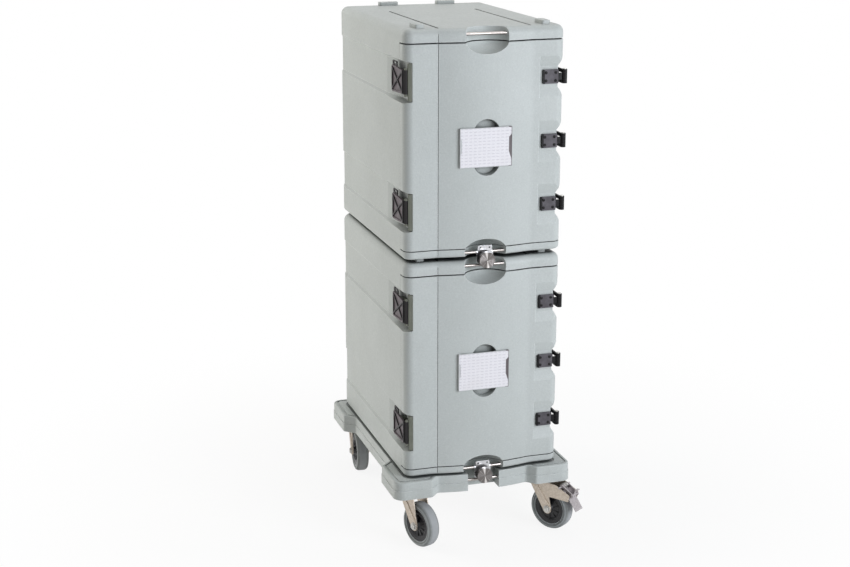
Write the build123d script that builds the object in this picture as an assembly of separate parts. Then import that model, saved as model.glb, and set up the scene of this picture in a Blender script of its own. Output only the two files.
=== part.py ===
from build123d import *
import os
from math import atan2, degrees, radians, sin, sqrt

# Insulated food transport cart: two front-loading containers stacked on a castor dolly.
# Millimetres, +Z up. The parts are made with x = 0 in the middle of the cart's width,
# y = 0 at the flat front of the doors and z = 0 on the floor, and the whole cart is then
# moved so that its origin is the middle of its footprint, on the floor.

# Trays that the containers hold, and the room round them
TRAY_WIDTH = 325
TRAY_LENGTH = 530
TRAY_SIDE_ROOM = 5
TRAY_END_ROOM = 15
TRAY_TOP_ROOM = 14
TRAY_PITCH = 38
TRAY_COUNT = 12
FIRST_TRAY = 20
LEDGE_DEPTH = 12
LEDGE_HEIGHT = 8
LEDGE_SLOPE = 5
LEDGE_END_ROOM = 16

# Container, sized from its cavity and its walls, with z counted from its own underside
SIDE_INSULATION = 52.5
REAR_INSULATION = 61
ROOF_INSULATION = 57
CORNER_RADIUS = 24
KINK_RADIUS = 60
TOP_RADIUS = 20
BOTTOM_RADIUS = 10
BOW_MARGIN = 91
BOW_RISE = 14
CASING_WALL = 5
FRAME_Y = 41
FRAME_WALL = 8
BASE_BAND = 21.5
TOP_BAND_HEIGHT = 35
CAVITY_FLOOR = 55
LINER_WALL = 3
LINER_FLANGE = 14
CAVITY_CORNER = 8
STACK_GAP = 10
CAVITY_WIDTH = TRAY_WIDTH + 2 * TRAY_SIDE_ROOM
CAVITY_DEPTH = TRAY_LENGTH + TRAY_END_ROOM
CAVITY_HEIGHT = FIRST_TRAY + TRAY_PITCH * TRAY_COUNT + TRAY_TOP_ROOM
WIDTH = CAVITY_WIDTH + 2 * SIDE_INSULATION
DEPTH = FRAME_Y + LINER_WALL + CAVITY_DEPTH + REAR_INSULATION
HEIGHT = CAVITY_FLOOR + CAVITY_HEIGHT + ROOF_INSULATION
BOW_HALF = WIDTH / 2 - BOW_MARGIN
TOP_BAND = HEIGHT - TOP_BAND_HEIGHT

# Door
DOOR_BACK = 40
DOOR_LOW_GAP = 1.5
DOOR_TOP_GAP = 3
DOOR_WALL = 4
DOOR_LINER = 5
DOOR_EDGE = 2.5
PLUG_DEPTH = 7
PLUG_ROOM = 10
GASKET_WIDTH = 10
GASKET_GROOVE = 3
GASKET_INSET = 5
SEAL_GAP = 0.3
FOAM_GAP = 0.3
SEAM_WIDTH = 1.4
SEAM_DEPTH = 1.5
DOOR_LOW = BASE_BAND + DOOR_LOW_GAP
DOOR_TOP = TOP_BAND - DOOR_TOP_GAP

# Hand scoops and the bars across them
SCOOP_RADIUS = 62
SCOOP_BOWL = 34
SCOOP_AXIS_Y = -32
SCOOP_TOP_Z = TOP_BAND
ARCH_Z = 15
ROD_RADIUS = 4
ROD_SEAT = 9
ROD_FIT = 0.05
TOP_ROD_DROP = 16
TOP_ROD_Z = HEIGHT - TOP_ROD_DROP
LOW_ROD_Z = 10

# Side channels and latch pockets
CHANNEL_DEPTH = 6
CHANNEL_FLOOR = 48
CHANNEL_MOUTH = 54
CHANNEL_START = 175
LATCH_LOW_Z = 128
LATCH_TOP_DROP = 134
LATCH_PITCH = HEIGHT - LATCH_LOW_Z - LATCH_TOP_DROP
POCKET_DEPTH = 22
POCKET_FLOOR = 50
POCKET_MOUTH = 55
POCKET_END = 85

# Latch lever, its bracket and its strike
KNUCKLE_Y = 12.5
KNUCKLE_DEPTH = 8.5
KNUCKLE_RADIUS = 5
KNUCKLE_LENGTH = 62
LATCH_PIN_RADIUS = 2.5
LATCH_PIN_FIT = 0.05
LEVER_FRONT = 17.5
LEVER_REAR = 112
LEVER_FRONT_HEIGHT = 60
LEVER_REAR_HEIGHT = 70
LEVER_PLATE = 3
LEVER_RIB = 3
LEVER_RIM = 4
LEVER_PROUD = 1
LEVER_ROUND = 8
TAB_LENGTH = 38
TAB_HEIGHT = 11
TAB_ROUND = 4
TAB_SLOT_LENGTH = 22
TAB_SLOT_HEIGHT = 5
BRACKET_PLATE = 3
BRACKET_EAR = 5
BRACKET_EAR_GAP = 0.3
BRACKET_HALF = 44
BRACKET_FRONT = 1
BRACKET_REAR = 36
CHEEK_WIDTH = 11
CHEEK_GAP = 1
STRIKE_FRONT = 60
STRIKE_REAR = 84
STRIKE_HALF = 24
STRIKE_GAP = 0.5

# Hinges
HINGE_LOW_Z = 127
HINGE_TOP_DROP = 135
HINGE_COUNT = 3
HINGE_PITCH = (HEIGHT - HINGE_LOW_Z - HINGE_TOP_DROP) / (HINGE_COUNT - 1)
HINGE_OUT = 0.2
HINGE_Y = 4
BARREL_RADIUS = 7
HINGE_HEIGHT = 37
DOOR_KNUCKLE = 18
KNUCKLE_GAP = 0.3
HINGE_PIN_RADIUS = 3
HINGE_PIN_FIT = 0.05
PIN_HEAD_RADIUS = 5
PIN_HEAD = 2
LEAF_THICK = 5
LEAF_MARGIN = 60
LEAF_LEFT = WIDTH / 2 - LEAF_MARGIN
POCKET_PAST_LEAF = 10
HINGE_POCKET_LEFT = LEAF_LEFT - POCKET_PAST_LEAF
HINGE_POCKET_Y = 8
HINGE_FLOOR = 28
HINGE_MOUTH = 55
HINGE_SIDE_DEPTH = 17
HINGE_SIDE_END = 98
FRAME_LEAF_FRONT = 52
FRAME_LEAF_REAR = 94

# Screws
SCREW_RADIUS = 2
SCREW_HEAD_RADIUS = 4
SCREW_HEAD = 1.6
SCREW_PAST = 3
SCREW_FIT = 0.1

# Finger recess and the label over it
RECESS_WIDTH = 74
RECESS_HEIGHT = 150
RECESS_DROP = 9
RECESS_Z = HEIGHT / 2 - RECESS_DROP
RECESS_FLOOR_Y = 4
RECESS_TAPER = 12
LABEL_WIDTH = 140
LABEL_HEIGHT = 101
LABEL_RISE = 1
LABEL_Z = RECESS_Z + LABEL_RISE
LABEL_X = -3
LABEL_BACK = 2.5
LABEL_CARD = 0.8
LABEL_LIP = 1.5
LABEL_CUT = 7

# Clasps that lock the containers together
STRAP_WIDTH = 46
STRAP_THICK = 2
STRAP_TAIL = 12
STRAP_TAB_WIDTH = 40
STRAP_TAB_RISE = 18
STRAP_TAB_ROUND = 4
STRAP_HOLE_RADIUS = 2.5
STRAP_HOLE_X = 13
STRAP_HOLE_RISE = 12
KNOB_RADIUS = 22
KNOB_EDGE = 1
KNOB_FRONT_Y = -28
KNOB_THICK = 12
SHAFT_RADIUS = 5
SHAFT_FIT = 0.05
COLLAR_RADIUS = 10
CROSSBAR_HALF = 25
CROSSBAR_WIDTH = 12
CROSSBAR_THICK = 4
CROSSBAR_GAP = 0.4

# Stacking lugs and grooves of the top
LUG_LENGTH = 56
LUG_WIDTH = 24
REAR_LUG_MARGIN = 28
REAR_LUG_Y = DEPTH - REAR_LUG_MARGIN
LEFT_LUG_X = -82
RIGHT_LUG_X = 91
FRONT_LUG_MARGIN = 48
FRONT_LUG_X = WIDTH / 2 - FRONT_LUG_MARGIN
FRONT_LUG_Y = 48
GROOVE_MARGIN = 94
GROOVE_X = WIDTH / 2 - GROOVE_MARGIN
GROOVE_START = 14
GROOVE_REAR_ROOM = 195
GROOVE_END = DEPTH - GROOVE_REAR_ROOM
GROOVE_WIDTH = 7
GROOVE_DEPTH = 4

# Dolly, which lies over the wheels
WHEEL_RADIUS = 62.5
WHEEL_TOP = 2 * WHEEL_RADIUS
WHEEL_TO_SKIRT = 23
SKIRT_LOW = WHEEL_TOP + WHEEL_TO_SKIRT
SKIRT_TO_PARTING = 25
PARTING_Z = SKIRT_LOW + SKIRT_TO_PARTING
SKIRT_HEIGHT = 48
DECK_Z = SKIRT_LOW + SKIRT_HEIGHT
DECK_LIP = 2
PARTING_STEP = 1.5
PAD_FRONT = 28
PAD_SIDE = 36
PAD_WIDTH = 68
PAD_INNER = WIDTH / 2 - PAD_WIDTH
PAD_FACET = 30
PAD_REACH = 117
SIDE_OVERHANG = 5
FRONT_OVERHANG = 3
REAR_OVERHANG = 5
PAD_CORNER = 28
FACET_RADIUS = 10
SKIRT_WALL = 6
SKIRT_TO_UNDERSIDE = 10
UNDERSIDE_Z = SKIRT_LOW + SKIRT_TO_UNDERSIDE
DECK_WALL = 5
DECK_LUG = 4
NOTCH_HALF = 45
NOTCH_BACK = 24
DOLLY_ROD_DROP = 22
DOLLY_ROD_Z = DECK_Z - DOLLY_ROD_DROP
RIM_INSET = 10
RIM_CHANNEL = 6

# Castors
SWIVEL_SIDE_MARGIN = 30
SWIVEL_X = WIDTH / 2 - SWIVEL_SIDE_MARGIN
FRONT_SWIVEL_Y = 32
REAR_SWIVEL_Y = DEPTH - FRONT_SWIVEL_Y
WHEEL_WIDTH = 36
TRAIL = 38
TYRE_INNER = 46
HUB_COVER = 36
HUB_RADIUS = 12
RIM_STEP = 3
RIM_DISH = 7
COVER_SLOPE = 6
BEAD_STEP = 2
BEAD_HEIGHT = 3
BEAD_SLOPE = 1
TREAD_ROUND = 8
FORK_GAP = 0.3
LEG_INNER = 22
LEG_THICK = 2.5
LEG_RIB = 2
WHEEL_TO_CROWN = 18.5
CROWN_Z = WHEEL_TOP + WHEEL_TO_CROWN
CROWN_THICK = 3.5
LEG_TOP_LEAD = 27
LEG_TOP_TRAIL = 32
LEG_END_RADIUS = 13
PLATE_WIDTH = 85
PLATE_LENGTH = 100
PLATE_THICK = 4
PLATE_CORNER = 10
BOLT_SPACING_X = 60
BOLT_SPACING_Y = 80
BOLT_RADIUS = 4
BOLT_HEAD_RADIUS = 6.5
BOLT_HEAD = 5
BOLT_PAST = 12
RACE_RADIUS = 29
KINGPIN_RADIUS = 6
KINGPIN_FIT = 0.05
KINGPIN_HEAD = 10
AXLE_RADIUS = 5
AXLE_FIT = 0.05
AXLE_END = 33
AXLE_HEX = 9
AXLE_PAST_NUT = 1
FRONT_LEFT_ANGLE = 21
FRONT_RIGHT_ANGLE = 35
REAR_LEFT_ANGLE = -5
REAR_RIGHT_ANGLE = 12

# Brake, with t counted from the swivel axis towards the wheel's trailing side
PIVOT_INSIDE_TREAD = 23.5
PEDAL_PIVOT_T = TRAIL + WHEEL_RADIUS - PIVOT_INSIDE_TREAD
PIVOT_OVER_WHEEL = 10
PEDAL_PIVOT_Z = WHEEL_TOP + PIVOT_OVER_WHEEL
PEDAL_PIN_RADIUS = 3
PEDAL_PIN_FIT = 0.05
PEDAL_CHEEK = 15
PEDAL_PLATE = 2.5
PEDAL_HALF = 17
PEDAL_EYE = 7
PEDAL_START = 8
BAR_PAST_PIVOT = 33
BAR_BELOW_PIVOT = 19
BAR_EYE = 6
BAR_RADIUS = 4
BAR_PAST_CHEEK = 2
KNEE_BEFORE_BAR = 6
KNEE_DROP = 9
TOE_PAST_BAR = 18
TOE_DROP = 42
RELEASE_LEAN = 7
RELEASE_RISE = 17
RELEASE_HALF = 6
SHOE_PAST_PIVOT = 7
SHOE_DROP = 14
SHOE_THICK = 5
SHOE_HEIGHT = 18
SHOE_HALF = 10

# Places of the two containers
DECK_TO_CONTAINER = DECK_LUG
LOWER_BASE = DECK_Z + DECK_TO_CONTAINER
UPPER_BASE = LOWER_BASE + HEIGHT + STACK_GAP
LATCH_HEIGHTS = [LATCH_LOW_Z, LATCH_LOW_Z + LATCH_PITCH]
HINGE_HEIGHTS = [HINGE_LOW_Z + HINGE_PITCH * i for i in range(HINGE_COUNT)]

# Places of the moving axes
HINGE_X = WIDTH / 2 + HINGE_OUT
KNUCKLE_X = KNUCKLE_DEPTH - WIDTH / 2
UPPER_CLASP_Z = (UPPER_BASE + LOW_ROD_Z + LOWER_BASE + TOP_ROD_Z) / 2
LOWER_CLASP_Z = (LOWER_BASE + LOW_ROD_Z + DOLLY_ROD_Z) / 2

# name, side of the swivel axis, its y, rest angle from straight forwards, with a brake or not
CASTORS = [
    ("front_left", -SWIVEL_X, FRONT_SWIVEL_Y, FRONT_LEFT_ANGLE, False),
    ("front_right", SWIVEL_X, FRONT_SWIVEL_Y, FRONT_RIGHT_ANGLE, True),
    ("rear_left", -SWIVEL_X, REAR_SWIVEL_Y, REAR_LEFT_ANGLE, False),
    ("rear_right", SWIVEL_X, REAR_SWIVEL_Y, REAR_RIGHT_ANGLE, True),
]

FAR = 60


# Shared shapes

def block(x_low, x_high, y_low, y_high, z_low, z_high):
    """Box between two values on each axis."""
    size = (x_high - x_low, y_high - y_low, z_high - z_low)
    return Pos(x_low, y_low, z_low) * Box(*size, align=(Align.MIN, Align.MIN, Align.MIN))


def upright(face, z_low, z_high):
    """Flat plan outline raised between two heights."""
    return Pos(0, 0, z_low) * extrude(face, z_high - z_low, dir=(0, 0, 1))


def polygon_face(points):
    """Flat face through points in space."""
    return Face(Wire.make_polygon([Vector(*point) for point in points], close=True))


def rod_x(radius, x_low, x_high, y, z):
    """Round rod along X."""
    length = x_high - x_low
    return Pos((x_low + x_high) / 2, y, z) * Cylinder(radius, length, rotation=(0, 90, 0))


def rod_y(radius, y_low, y_high, x, z):
    """Round rod along Y."""
    length = y_high - y_low
    return Pos(x, (y_low + y_high) / 2, z) * Cylinder(radius, length, rotation=(90, 0, 0))


def rod_z(radius, z_low, z_high, x, y):
    """Round rod along Z."""
    return Pos(x, y, (z_low + z_high) / 2) * Cylinder(radius, z_high - z_low)


def moved(shape, x, y, z):
    """Copy of a shape, or of each solid of a group, moved without turning it."""
    return Compound([Pos(x, y, z) * solid for solid in shape.solids()])


def on_both(shape):
    """The same piece on the lower and on the upper container."""
    return [moved(shape, 0, 0, LOWER_BASE), moved(shape, 0, 0, UPPER_BASE)]


# Container outlines and the hollows that its casing and door share

def container_plan(inset):
    """Plan outline of a container, with a bowed front and rounded corners."""
    left = inset - WIDTH / 2
    right = WIDTH / 2 - inset
    front = inset
    rear = DEPTH - inset
    edges = [
        Line((left, rear), (left, front)),
        Line((left, front), (-BOW_HALF, front)),
        ThreePointArc((-BOW_HALF, front), (0, front - BOW_RISE), (BOW_HALF, front)),
        Line((BOW_HALF, front), (right, front)),
        Line((right, front), (right, rear)),
        Line((right, rear), (left, rear)),
    ]
    face = Face(Wire(edges))
    corners = [v for v in face.vertices() if abs(v.X) > BOW_HALF + 1]
    face = face.fillet_2d(CORNER_RADIUS - inset, corners)
    kinks = [v for v in face.vertices() if abs(abs(v.X) - BOW_HALF) < 1]
    return face.fillet_2d(KINK_RADIUS, kinks)


def container_block(inset):
    """Whole container as a rounded block, drawn in by a wall."""
    solid = upright(container_plan(inset), inset, HEIGHT - inset)
    solid = fillet(solid.edges().group_by(Axis.Z)[-1], TOP_RADIUS - inset)
    return fillet(solid.edges().group_by(Axis.Z)[0], BOTTOM_RADIUS - inset)


def channel_section(side, y, depth, floor_half, mouth_half, z, grow):
    """Trapezoid across a side channel, from its floor out past the side of the container."""
    past = CHANNEL_DEPTH
    flare = (mouth_half - floor_half) / depth * past
    floor_x = side * (WIDTH / 2 - depth - grow)
    mouth_x = side * (WIDTH / 2 + past)
    floor_z = floor_half + grow
    mouth_z = mouth_half + flare + grow
    return polygon_face([
        (floor_x, y, z - floor_z),
        (mouth_x, y, z - mouth_z),
        (mouth_x, y, z + mouth_z),
        (floor_x, y, z + floor_z),
    ])


def side_channel(side, z, grow):
    """Shallow channel along a side, out through the rear."""
    ends = [CHANNEL_START - grow, DEPTH + FAR]
    shape = (CHANNEL_DEPTH, CHANNEL_FLOOR, CHANNEL_MOUTH, z, grow)
    return loft([channel_section(side, y, *shape) for y in ends], ruled=True)


def latch_pocket(z, grow):
    """Deep pocket round a latch, which rises to the channel behind it."""
    deep = (POCKET_DEPTH, POCKET_FLOOR, POCKET_MOUTH, z, grow)
    shallow = (CHANNEL_DEPTH, CHANNEL_FLOOR, CHANNEL_MOUTH, z, grow)
    sections = [
        channel_section(-1, -FAR, *deep),
        channel_section(-1, POCKET_END, *deep),
        channel_section(-1, CHANNEL_START, *shallow),
    ]
    return loft(sections, ruled=True)


def hinge_pocket(z, grow):
    """Pocket in the front of the door for a hinge leaf, with sloping top and bottom."""
    slope = (HINGE_MOUTH - HINGE_FLOOR) / HINGE_POCKET_Y
    floor_half = HINGE_FLOOR + grow
    mouth_half = HINGE_MOUTH + slope + grow
    left = HINGE_POCKET_LEFT - grow
    right = WIDTH / 2 + FAR
    floor_y = HINGE_POCKET_Y + grow
    mouth_y = -1
    floor = polygon_face([(left, floor_y, z - floor_half), (right, floor_y, z - floor_half),
                          (right, floor_y, z + floor_half), (left, floor_y, z + floor_half)])
    mouth = polygon_face([(left, mouth_y, z - mouth_half), (right, mouth_y, z - mouth_half),
                          (right, mouth_y, z + mouth_half), (left, mouth_y, z + mouth_half)])
    return loft([floor, mouth], ruled=True)


def hinge_notch(z, grow):
    """Notch in the side, through the door and into the casing, for the hinge barrel."""
    past = HINGE_SIDE_DEPTH / 2
    flare = (HINGE_MOUTH - HINGE_FLOOR) / HINGE_SIDE_DEPTH * past
    floor_x = WIDTH / 2 - HINGE_SIDE_DEPTH - grow
    mouth_x = WIDTH / 2 + past
    floor_half = HINGE_FLOOR + grow
    mouth_half = HINGE_MOUTH + flare + grow
    rear = HINGE_SIDE_END + grow
    mouth_rear = rear + HINGE_SIDE_DEPTH
    floor = polygon_face([(floor_x, -FAR, z - floor_half), (floor_x, rear, z - floor_half),
                          (floor_x, rear, z + floor_half), (floor_x, -FAR, z + floor_half)])
    mouth = polygon_face([(mouth_x, -FAR, z - mouth_half), (mouth_x, mouth_rear, z - mouth_half),
                          (mouth_x, mouth_rear, z + mouth_half), (mouth_x, -FAR, z + mouth_half)])
    return loft([floor, mouth], ruled=True)


def bowl(grow):
    """Upright round cut that ends below in a bowl, with z = 0 where the bowl starts."""
    radius = SCOOP_RADIUS + grow
    depth = SCOOP_BOWL + grow
    top = FAR
    profile = make_face([
        EllipticalCenterArc((0, 0), radius, depth, start_angle=-90, arc_size=90),
        Line((radius, 0), (radius, top)),
        Line((radius, top), (0, top)),
        Line((0, top), (0, -depth)),
    ])
    return revolve(Plane.XZ * profile, Axis.Z)


def top_scoop(grow):
    """Scoop behind the upper bar, open at the top."""
    return Pos(0, SCOOP_AXIS_Y, SCOOP_TOP_Z) * bowl(grow)


def low_arch(grow):
    """Arch round the lower bar, open at the bottom."""
    return Pos(0, SCOOP_AXIS_Y, ARCH_Z) * mirror(bowl(grow), about=Plane.XY)


def finger_recess(grow):
    """Upright slot behind the label, with sloping walls."""
    slot = SlotOverall(RECESS_HEIGHT + 2 * grow, RECESS_WIDTH + 2 * grow, rotation=90)
    floor_y = RECESS_FLOOR_Y + grow
    floor = Plane(origin=(0, floor_y, RECESS_Z), x_dir=(1, 0, 0), z_dir=(0, -1, 0))
    drop = (BOW_RISE + RECESS_FLOOR_Y) * sin(radians(RECESS_TAPER))
    slot = offset(slot, -drop)
    return extrude(floor * slot, FAR / 2, taper=-RECESS_TAPER)


def front_seam():
    """Fine upright groove where the bowed front starts, on the left."""
    y = SEAM_DEPTH
    return block(-BOW_HALF - SEAM_WIDTH / 2, -BOW_HALF + SEAM_WIDTH / 2, -FAR, y, -FAR, HEIGHT + FAR)


def side_hollows(grow):
    """Channels, latch pockets and hinge notches, grown by a wall where that is asked for."""
    hollows = []
    for z in LATCH_HEIGHTS:
        hollows.append(side_channel(-1, z, grow))
        hollows.append(side_channel(1, z, grow))
        hollows.append(latch_pocket(z, grow))
    for z in HINGE_HEIGHTS:
        hollows.append(hinge_notch(z, grow))
    return hollows


# Casing, liner and foam of a container

def rod_hole(z):
    """Blind hole for a grab rod, from one side of its scoop to the other."""
    half = rod_half() + SEAL_GAP
    return rod_x(ROD_RADIUS + ROD_FIT, -half, half, 0, z)


def rod_half():
    """Half the length of a grab rod: the scoop's width there and a seat at each end."""
    return sqrt(SCOOP_RADIUS ** 2 - SCOOP_AXIS_Y ** 2) + ROD_SEAT


def liner_outer(grow):
    """Outside of the liner tub, without its flange."""
    wall = LINER_WALL + grow
    half = CAVITY_WIDTH / 2 + wall
    rear = FRAME_Y + LINER_WALL + CAVITY_DEPTH + wall
    low = CAVITY_FLOOR - wall
    return block(-half, half, FRAME_Y, rear, low, CAVITY_FLOOR + CAVITY_HEIGHT + wall)


def liner_flange():
    """Flange of the liner, let into the front frame of the casing."""
    half = CAVITY_WIDTH / 2 + LINER_WALL + LINER_FLANGE
    low = CAVITY_FLOOR - LINER_WALL - LINER_FLANGE
    high = CAVITY_FLOOR + CAVITY_HEIGHT + LINER_WALL + LINER_FLANGE
    return block(-half, half, FRAME_Y, FRAME_Y + LINER_WALL, low, high)


def casing_void(gap):
    """Space inside the casing's walls, filled by the liner and the foam."""
    wall = CASING_WALL + gap
    void = container_block(wall)
    void -= block(-WIDTH, WIDTH, -FAR, FRAME_Y + FRAME_WALL + gap, -FAR, HEIGHT + FAR)
    return void - side_hollows(wall)


def top_lug(x, y, length, width, height, z):
    """Stacking lug with rounded corners."""
    plan = Pos(x, y) * RectangleRounded(length, width, min(length, width) / 4)
    return Pos(0, 0, z) * extrude(plan, height)


def lug_places():
    """Middle and size of each stacking lug."""
    return [
        (LEFT_LUG_X, REAR_LUG_Y, LUG_LENGTH, LUG_WIDTH),
        (RIGHT_LUG_X, REAR_LUG_Y, LUG_LENGTH, LUG_WIDTH),
        (-FRONT_LUG_X, FRONT_LUG_Y, LUG_WIDTH, LUG_LENGTH),
        (FRONT_LUG_X, FRONT_LUG_Y, LUG_WIDTH, LUG_LENGTH),
    ]


def top_groove(x):
    """Long shallow groove in the top."""
    middle = (GROOVE_START + GROOVE_END) / 2
    plan = Pos(x, middle) * SlotOverall(GROOVE_END - GROOVE_START, GROOVE_WIDTH, rotation=90)
    return Pos(0, 0, HEIGHT - GROOVE_DEPTH) * extrude(plan, GROOVE_DEPTH + 1)


def casing():
    """Moulded outer shell with its base band, top band and front frame."""
    shell = container_block(0)
    door_space = block(-WIDTH, WIDTH, -FAR, FRAME_Y, BASE_BAND, TOP_BAND)
    shell = shell - door_space - side_hollows(0)
    shell -= [top_scoop(0), low_arch(0), front_seam(), rod_hole(TOP_ROD_Z), rod_hole(LOW_ROD_Z)]
    shell -= [top_groove(GROOVE_X), top_groove(-GROOVE_X)]
    shell = shell - casing_void(0) - liner_outer(0) - liner_flange()
    shell -= [frame_screw_hole(z) for z in frame_screw_heights()]
    shell -= [strike_screw_hole(z) for z in strike_screw_heights()]
    return shell + [top_lug(*place, STACK_GAP, HEIGHT) for place in lug_places()]


def foam_core():
    """Foam between the casing and the liner."""
    return casing_void(FOAM_GAP) - liner_outer(FOAM_GAP)


def ledge(side, z):
    """Moulded ledge that a tray slides on, with a sloping underside."""
    wall = side * CAVITY_WIDTH / 2
    tip = side * (CAVITY_WIDTH / 2 - LEDGE_DEPTH)
    y = FRAME_Y + LEDGE_END_ROOM
    face = polygon_face([(wall, y, z - LEDGE_SLOPE), (tip, y, z), (tip, y, z + LEDGE_HEIGHT),
                         (wall, y, z + LEDGE_HEIGHT)])
    return extrude(face, CAVITY_DEPTH - 2 * LEDGE_END_ROOM, dir=(0, 1, 0))


def liner():
    """Moulded inner tub with its flange and the ledges for the trays."""
    tub = liner_outer(0) + liner_flange()
    half = CAVITY_WIDTH / 2
    rear = FRAME_Y + LINER_WALL + CAVITY_DEPTH
    cavity = block(-half, half, FRAME_Y - 1, rear, CAVITY_FLOOR, CAVITY_FLOOR + CAVITY_HEIGHT)
    cavity = fillet(cavity.edges().filter_by(Axis.Y), CAVITY_CORNER)
    ledges = []
    for i in range(TRAY_COUNT):
        z = CAVITY_FLOOR + FIRST_TRAY + TRAY_PITCH * i
        ledges += [ledge(-1, z), ledge(1, z)]
    return tub - cavity + ledges


def grab_rods():
    """Bars across the scoops, the arches and the dolly's notch."""
    half = rod_half()
    heights = [base + z for base in (LOWER_BASE, UPPER_BASE) for z in (LOW_ROD_Z, TOP_ROD_Z)]
    rods = [rod_x(ROD_RADIUS, -half, half, 0, z) for z in heights]
    dolly_half = NOTCH_HALF + ROD_SEAT
    rods.append(rod_x(ROD_RADIUS, -dolly_half, dolly_half, 0, DOLLY_ROD_Z))
    return rods


# Door

def door_hollow(grow):
    """Everything that is cut into a door from outside, grown by a wall where that is asked for."""
    hollows = side_hollows(grow) + [top_scoop(grow), low_arch(grow), finger_recess(grow)]
    return hollows + [hinge_pocket(z, grow) for z in HINGE_HEIGHTS]


def door_void():
    """Space inside the door's skin, open at the back."""
    inset = DOOR_WALL
    void = upright(container_plan(inset), DOOR_LOW + inset, DOOR_TOP - inset)
    void -= block(-WIDTH, WIDTH, DOOR_BACK, DEPTH + FAR, -FAR, HEIGHT + FAR)
    return void - door_hollow(inset)


def door_skin():
    """Moulded front of the door."""
    skin = upright(container_plan(0), DOOR_LOW, DOOR_TOP)
    skin = fillet(skin.edges().group_by(Axis.Z)[-1], DOOR_EDGE)
    skin = fillet(skin.edges().group_by(Axis.Z)[0], DOOR_EDGE)
    skin -= block(-WIDTH, WIDTH, DOOR_BACK, DEPTH + FAR, -FAR, HEIGHT + FAR)
    skin = skin - door_hollow(0) - front_seam() - door_void()
    skin -= [leaf_screw_hole(x, z) for x, z in leaf_screw_places()]
    return skin - [bracket_screw_hole(y, z) for y, z in bracket_screw_places()]


def seal_ring(y_low, y_high):
    """Ring where the gasket lies, over the liner's flange."""
    outer_half = CAVITY_WIDTH / 2 + LINER_WALL + LINER_FLANGE - GASKET_INSET
    inner_half = outer_half - GASKET_WIDTH
    low = CAVITY_FLOOR - LINER_WALL - LINER_FLANGE + GASKET_INSET
    high = CAVITY_FLOOR + CAVITY_HEIGHT + LINER_WALL + LINER_FLANGE - GASKET_INSET
    outer = block(-outer_half, outer_half, y_low, y_high, low, high)
    return outer - block(-inner_half, inner_half, y_low - 1, y_high + 1,
                         low + GASKET_WIDTH, high - GASKET_WIDTH)


def door_liner():
    """Back plate of the door, with its plug and the groove for the gasket."""
    void = door_void()
    plate = void & block(-WIDTH, WIDTH, DOOR_BACK - DOOR_LINER, DOOR_BACK, -FAR, HEIGHT + FAR)
    half = CAVITY_WIDTH / 2 - PLUG_ROOM
    low = CAVITY_FLOOR + PLUG_ROOM
    high = CAVITY_FLOOR + CAVITY_HEIGHT - PLUG_ROOM
    plug = block(-half, half, DOOR_BACK, DOOR_BACK + PLUG_DEPTH, low, high)
    plug = chamfer(plug.faces().sort_by(Axis.Y)[-1].edges(), PLUG_DEPTH / 2)
    return plate + plug - seal_ring(DOOR_BACK - GASKET_GROOVE, DOOR_BACK + 1)


def door_foam():
    """Foam inside the door."""
    return door_void() - block(-WIDTH, WIDTH, DOOR_BACK - DOOR_LINER, DOOR_BACK + 1, -FAR, HEIGHT + FAR)


def door_gasket():
    """Rubber seal that stands out of the door's groove, just short of the liner's flange."""
    return seal_ring(DOOR_BACK - GASKET_GROOVE, FRAME_Y - SEAL_GAP)


# Hinges

def leaf_screw_places():
    """X and z of the four screws in each door leaf."""
    right = WIDTH / 2 - HINGE_SIDE_DEPTH
    columns = [LEAF_LEFT + SCREW_HEAD_RADIUS * 2, right - SCREW_HEAD_RADIUS * 2]
    drop = HINGE_HEIGHT / 2 - SCREW_HEAD_RADIUS * 2
    return [(x, z + side * drop) for z in HINGE_HEIGHTS for x in columns for side in (-1, 1)]


def leaf_screw_hole(x, z):
    """Hole for a leaf screw."""
    front = HINGE_POCKET_Y - LEAF_THICK
    return rod_y(SCREW_RADIUS + SCREW_FIT, front - 1, HINGE_POCKET_Y + SCREW_PAST + SCREW_FIT, x, z)


def leaf_screw(x, z):
    """Pan-headed screw through a door leaf."""
    front = HINGE_POCKET_Y - LEAF_THICK
    shank = rod_y(SCREW_RADIUS, front, HINGE_POCKET_Y + SCREW_PAST, x, z)
    return shank + rod_y(SCREW_HEAD_RADIUS, front - SCREW_HEAD, front, x, z)


def pin_bore(z):
    """Hole through all the knuckles of a hinge."""
    half = HINGE_HEIGHT / 2 + 1
    return rod_z(HINGE_PIN_RADIUS + HINGE_PIN_FIT, z - half, z + half, HINGE_X, HINGE_Y)


def door_leaf(z):
    """Leaf on the front of the door, with the middle knuckle."""
    front = HINGE_POCKET_Y - LEAF_THICK
    right = WIDTH / 2 - HINGE_SIDE_DEPTH
    half = HINGE_HEIGHT / 2
    leaf = block(LEAF_LEFT, right, front, HINGE_POCKET_Y, z - half, z + half)
    leaf = fillet(leaf.edges().filter_by(Axis.Y), SCREW_RADIUS)
    low = z - DOOR_KNUCKLE / 2
    high = z + DOOR_KNUCKLE / 2
    leaf += block(right - LEAF_THICK, HINGE_X, front, HINGE_POCKET_Y, low, high)
    leaf += rod_z(BARREL_RADIUS, low, high, HINGE_X, HINGE_Y)
    holes = [leaf_screw_hole(x, height) for x, height in leaf_screw_places()]
    return leaf - pin_bore(z) - holes


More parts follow.
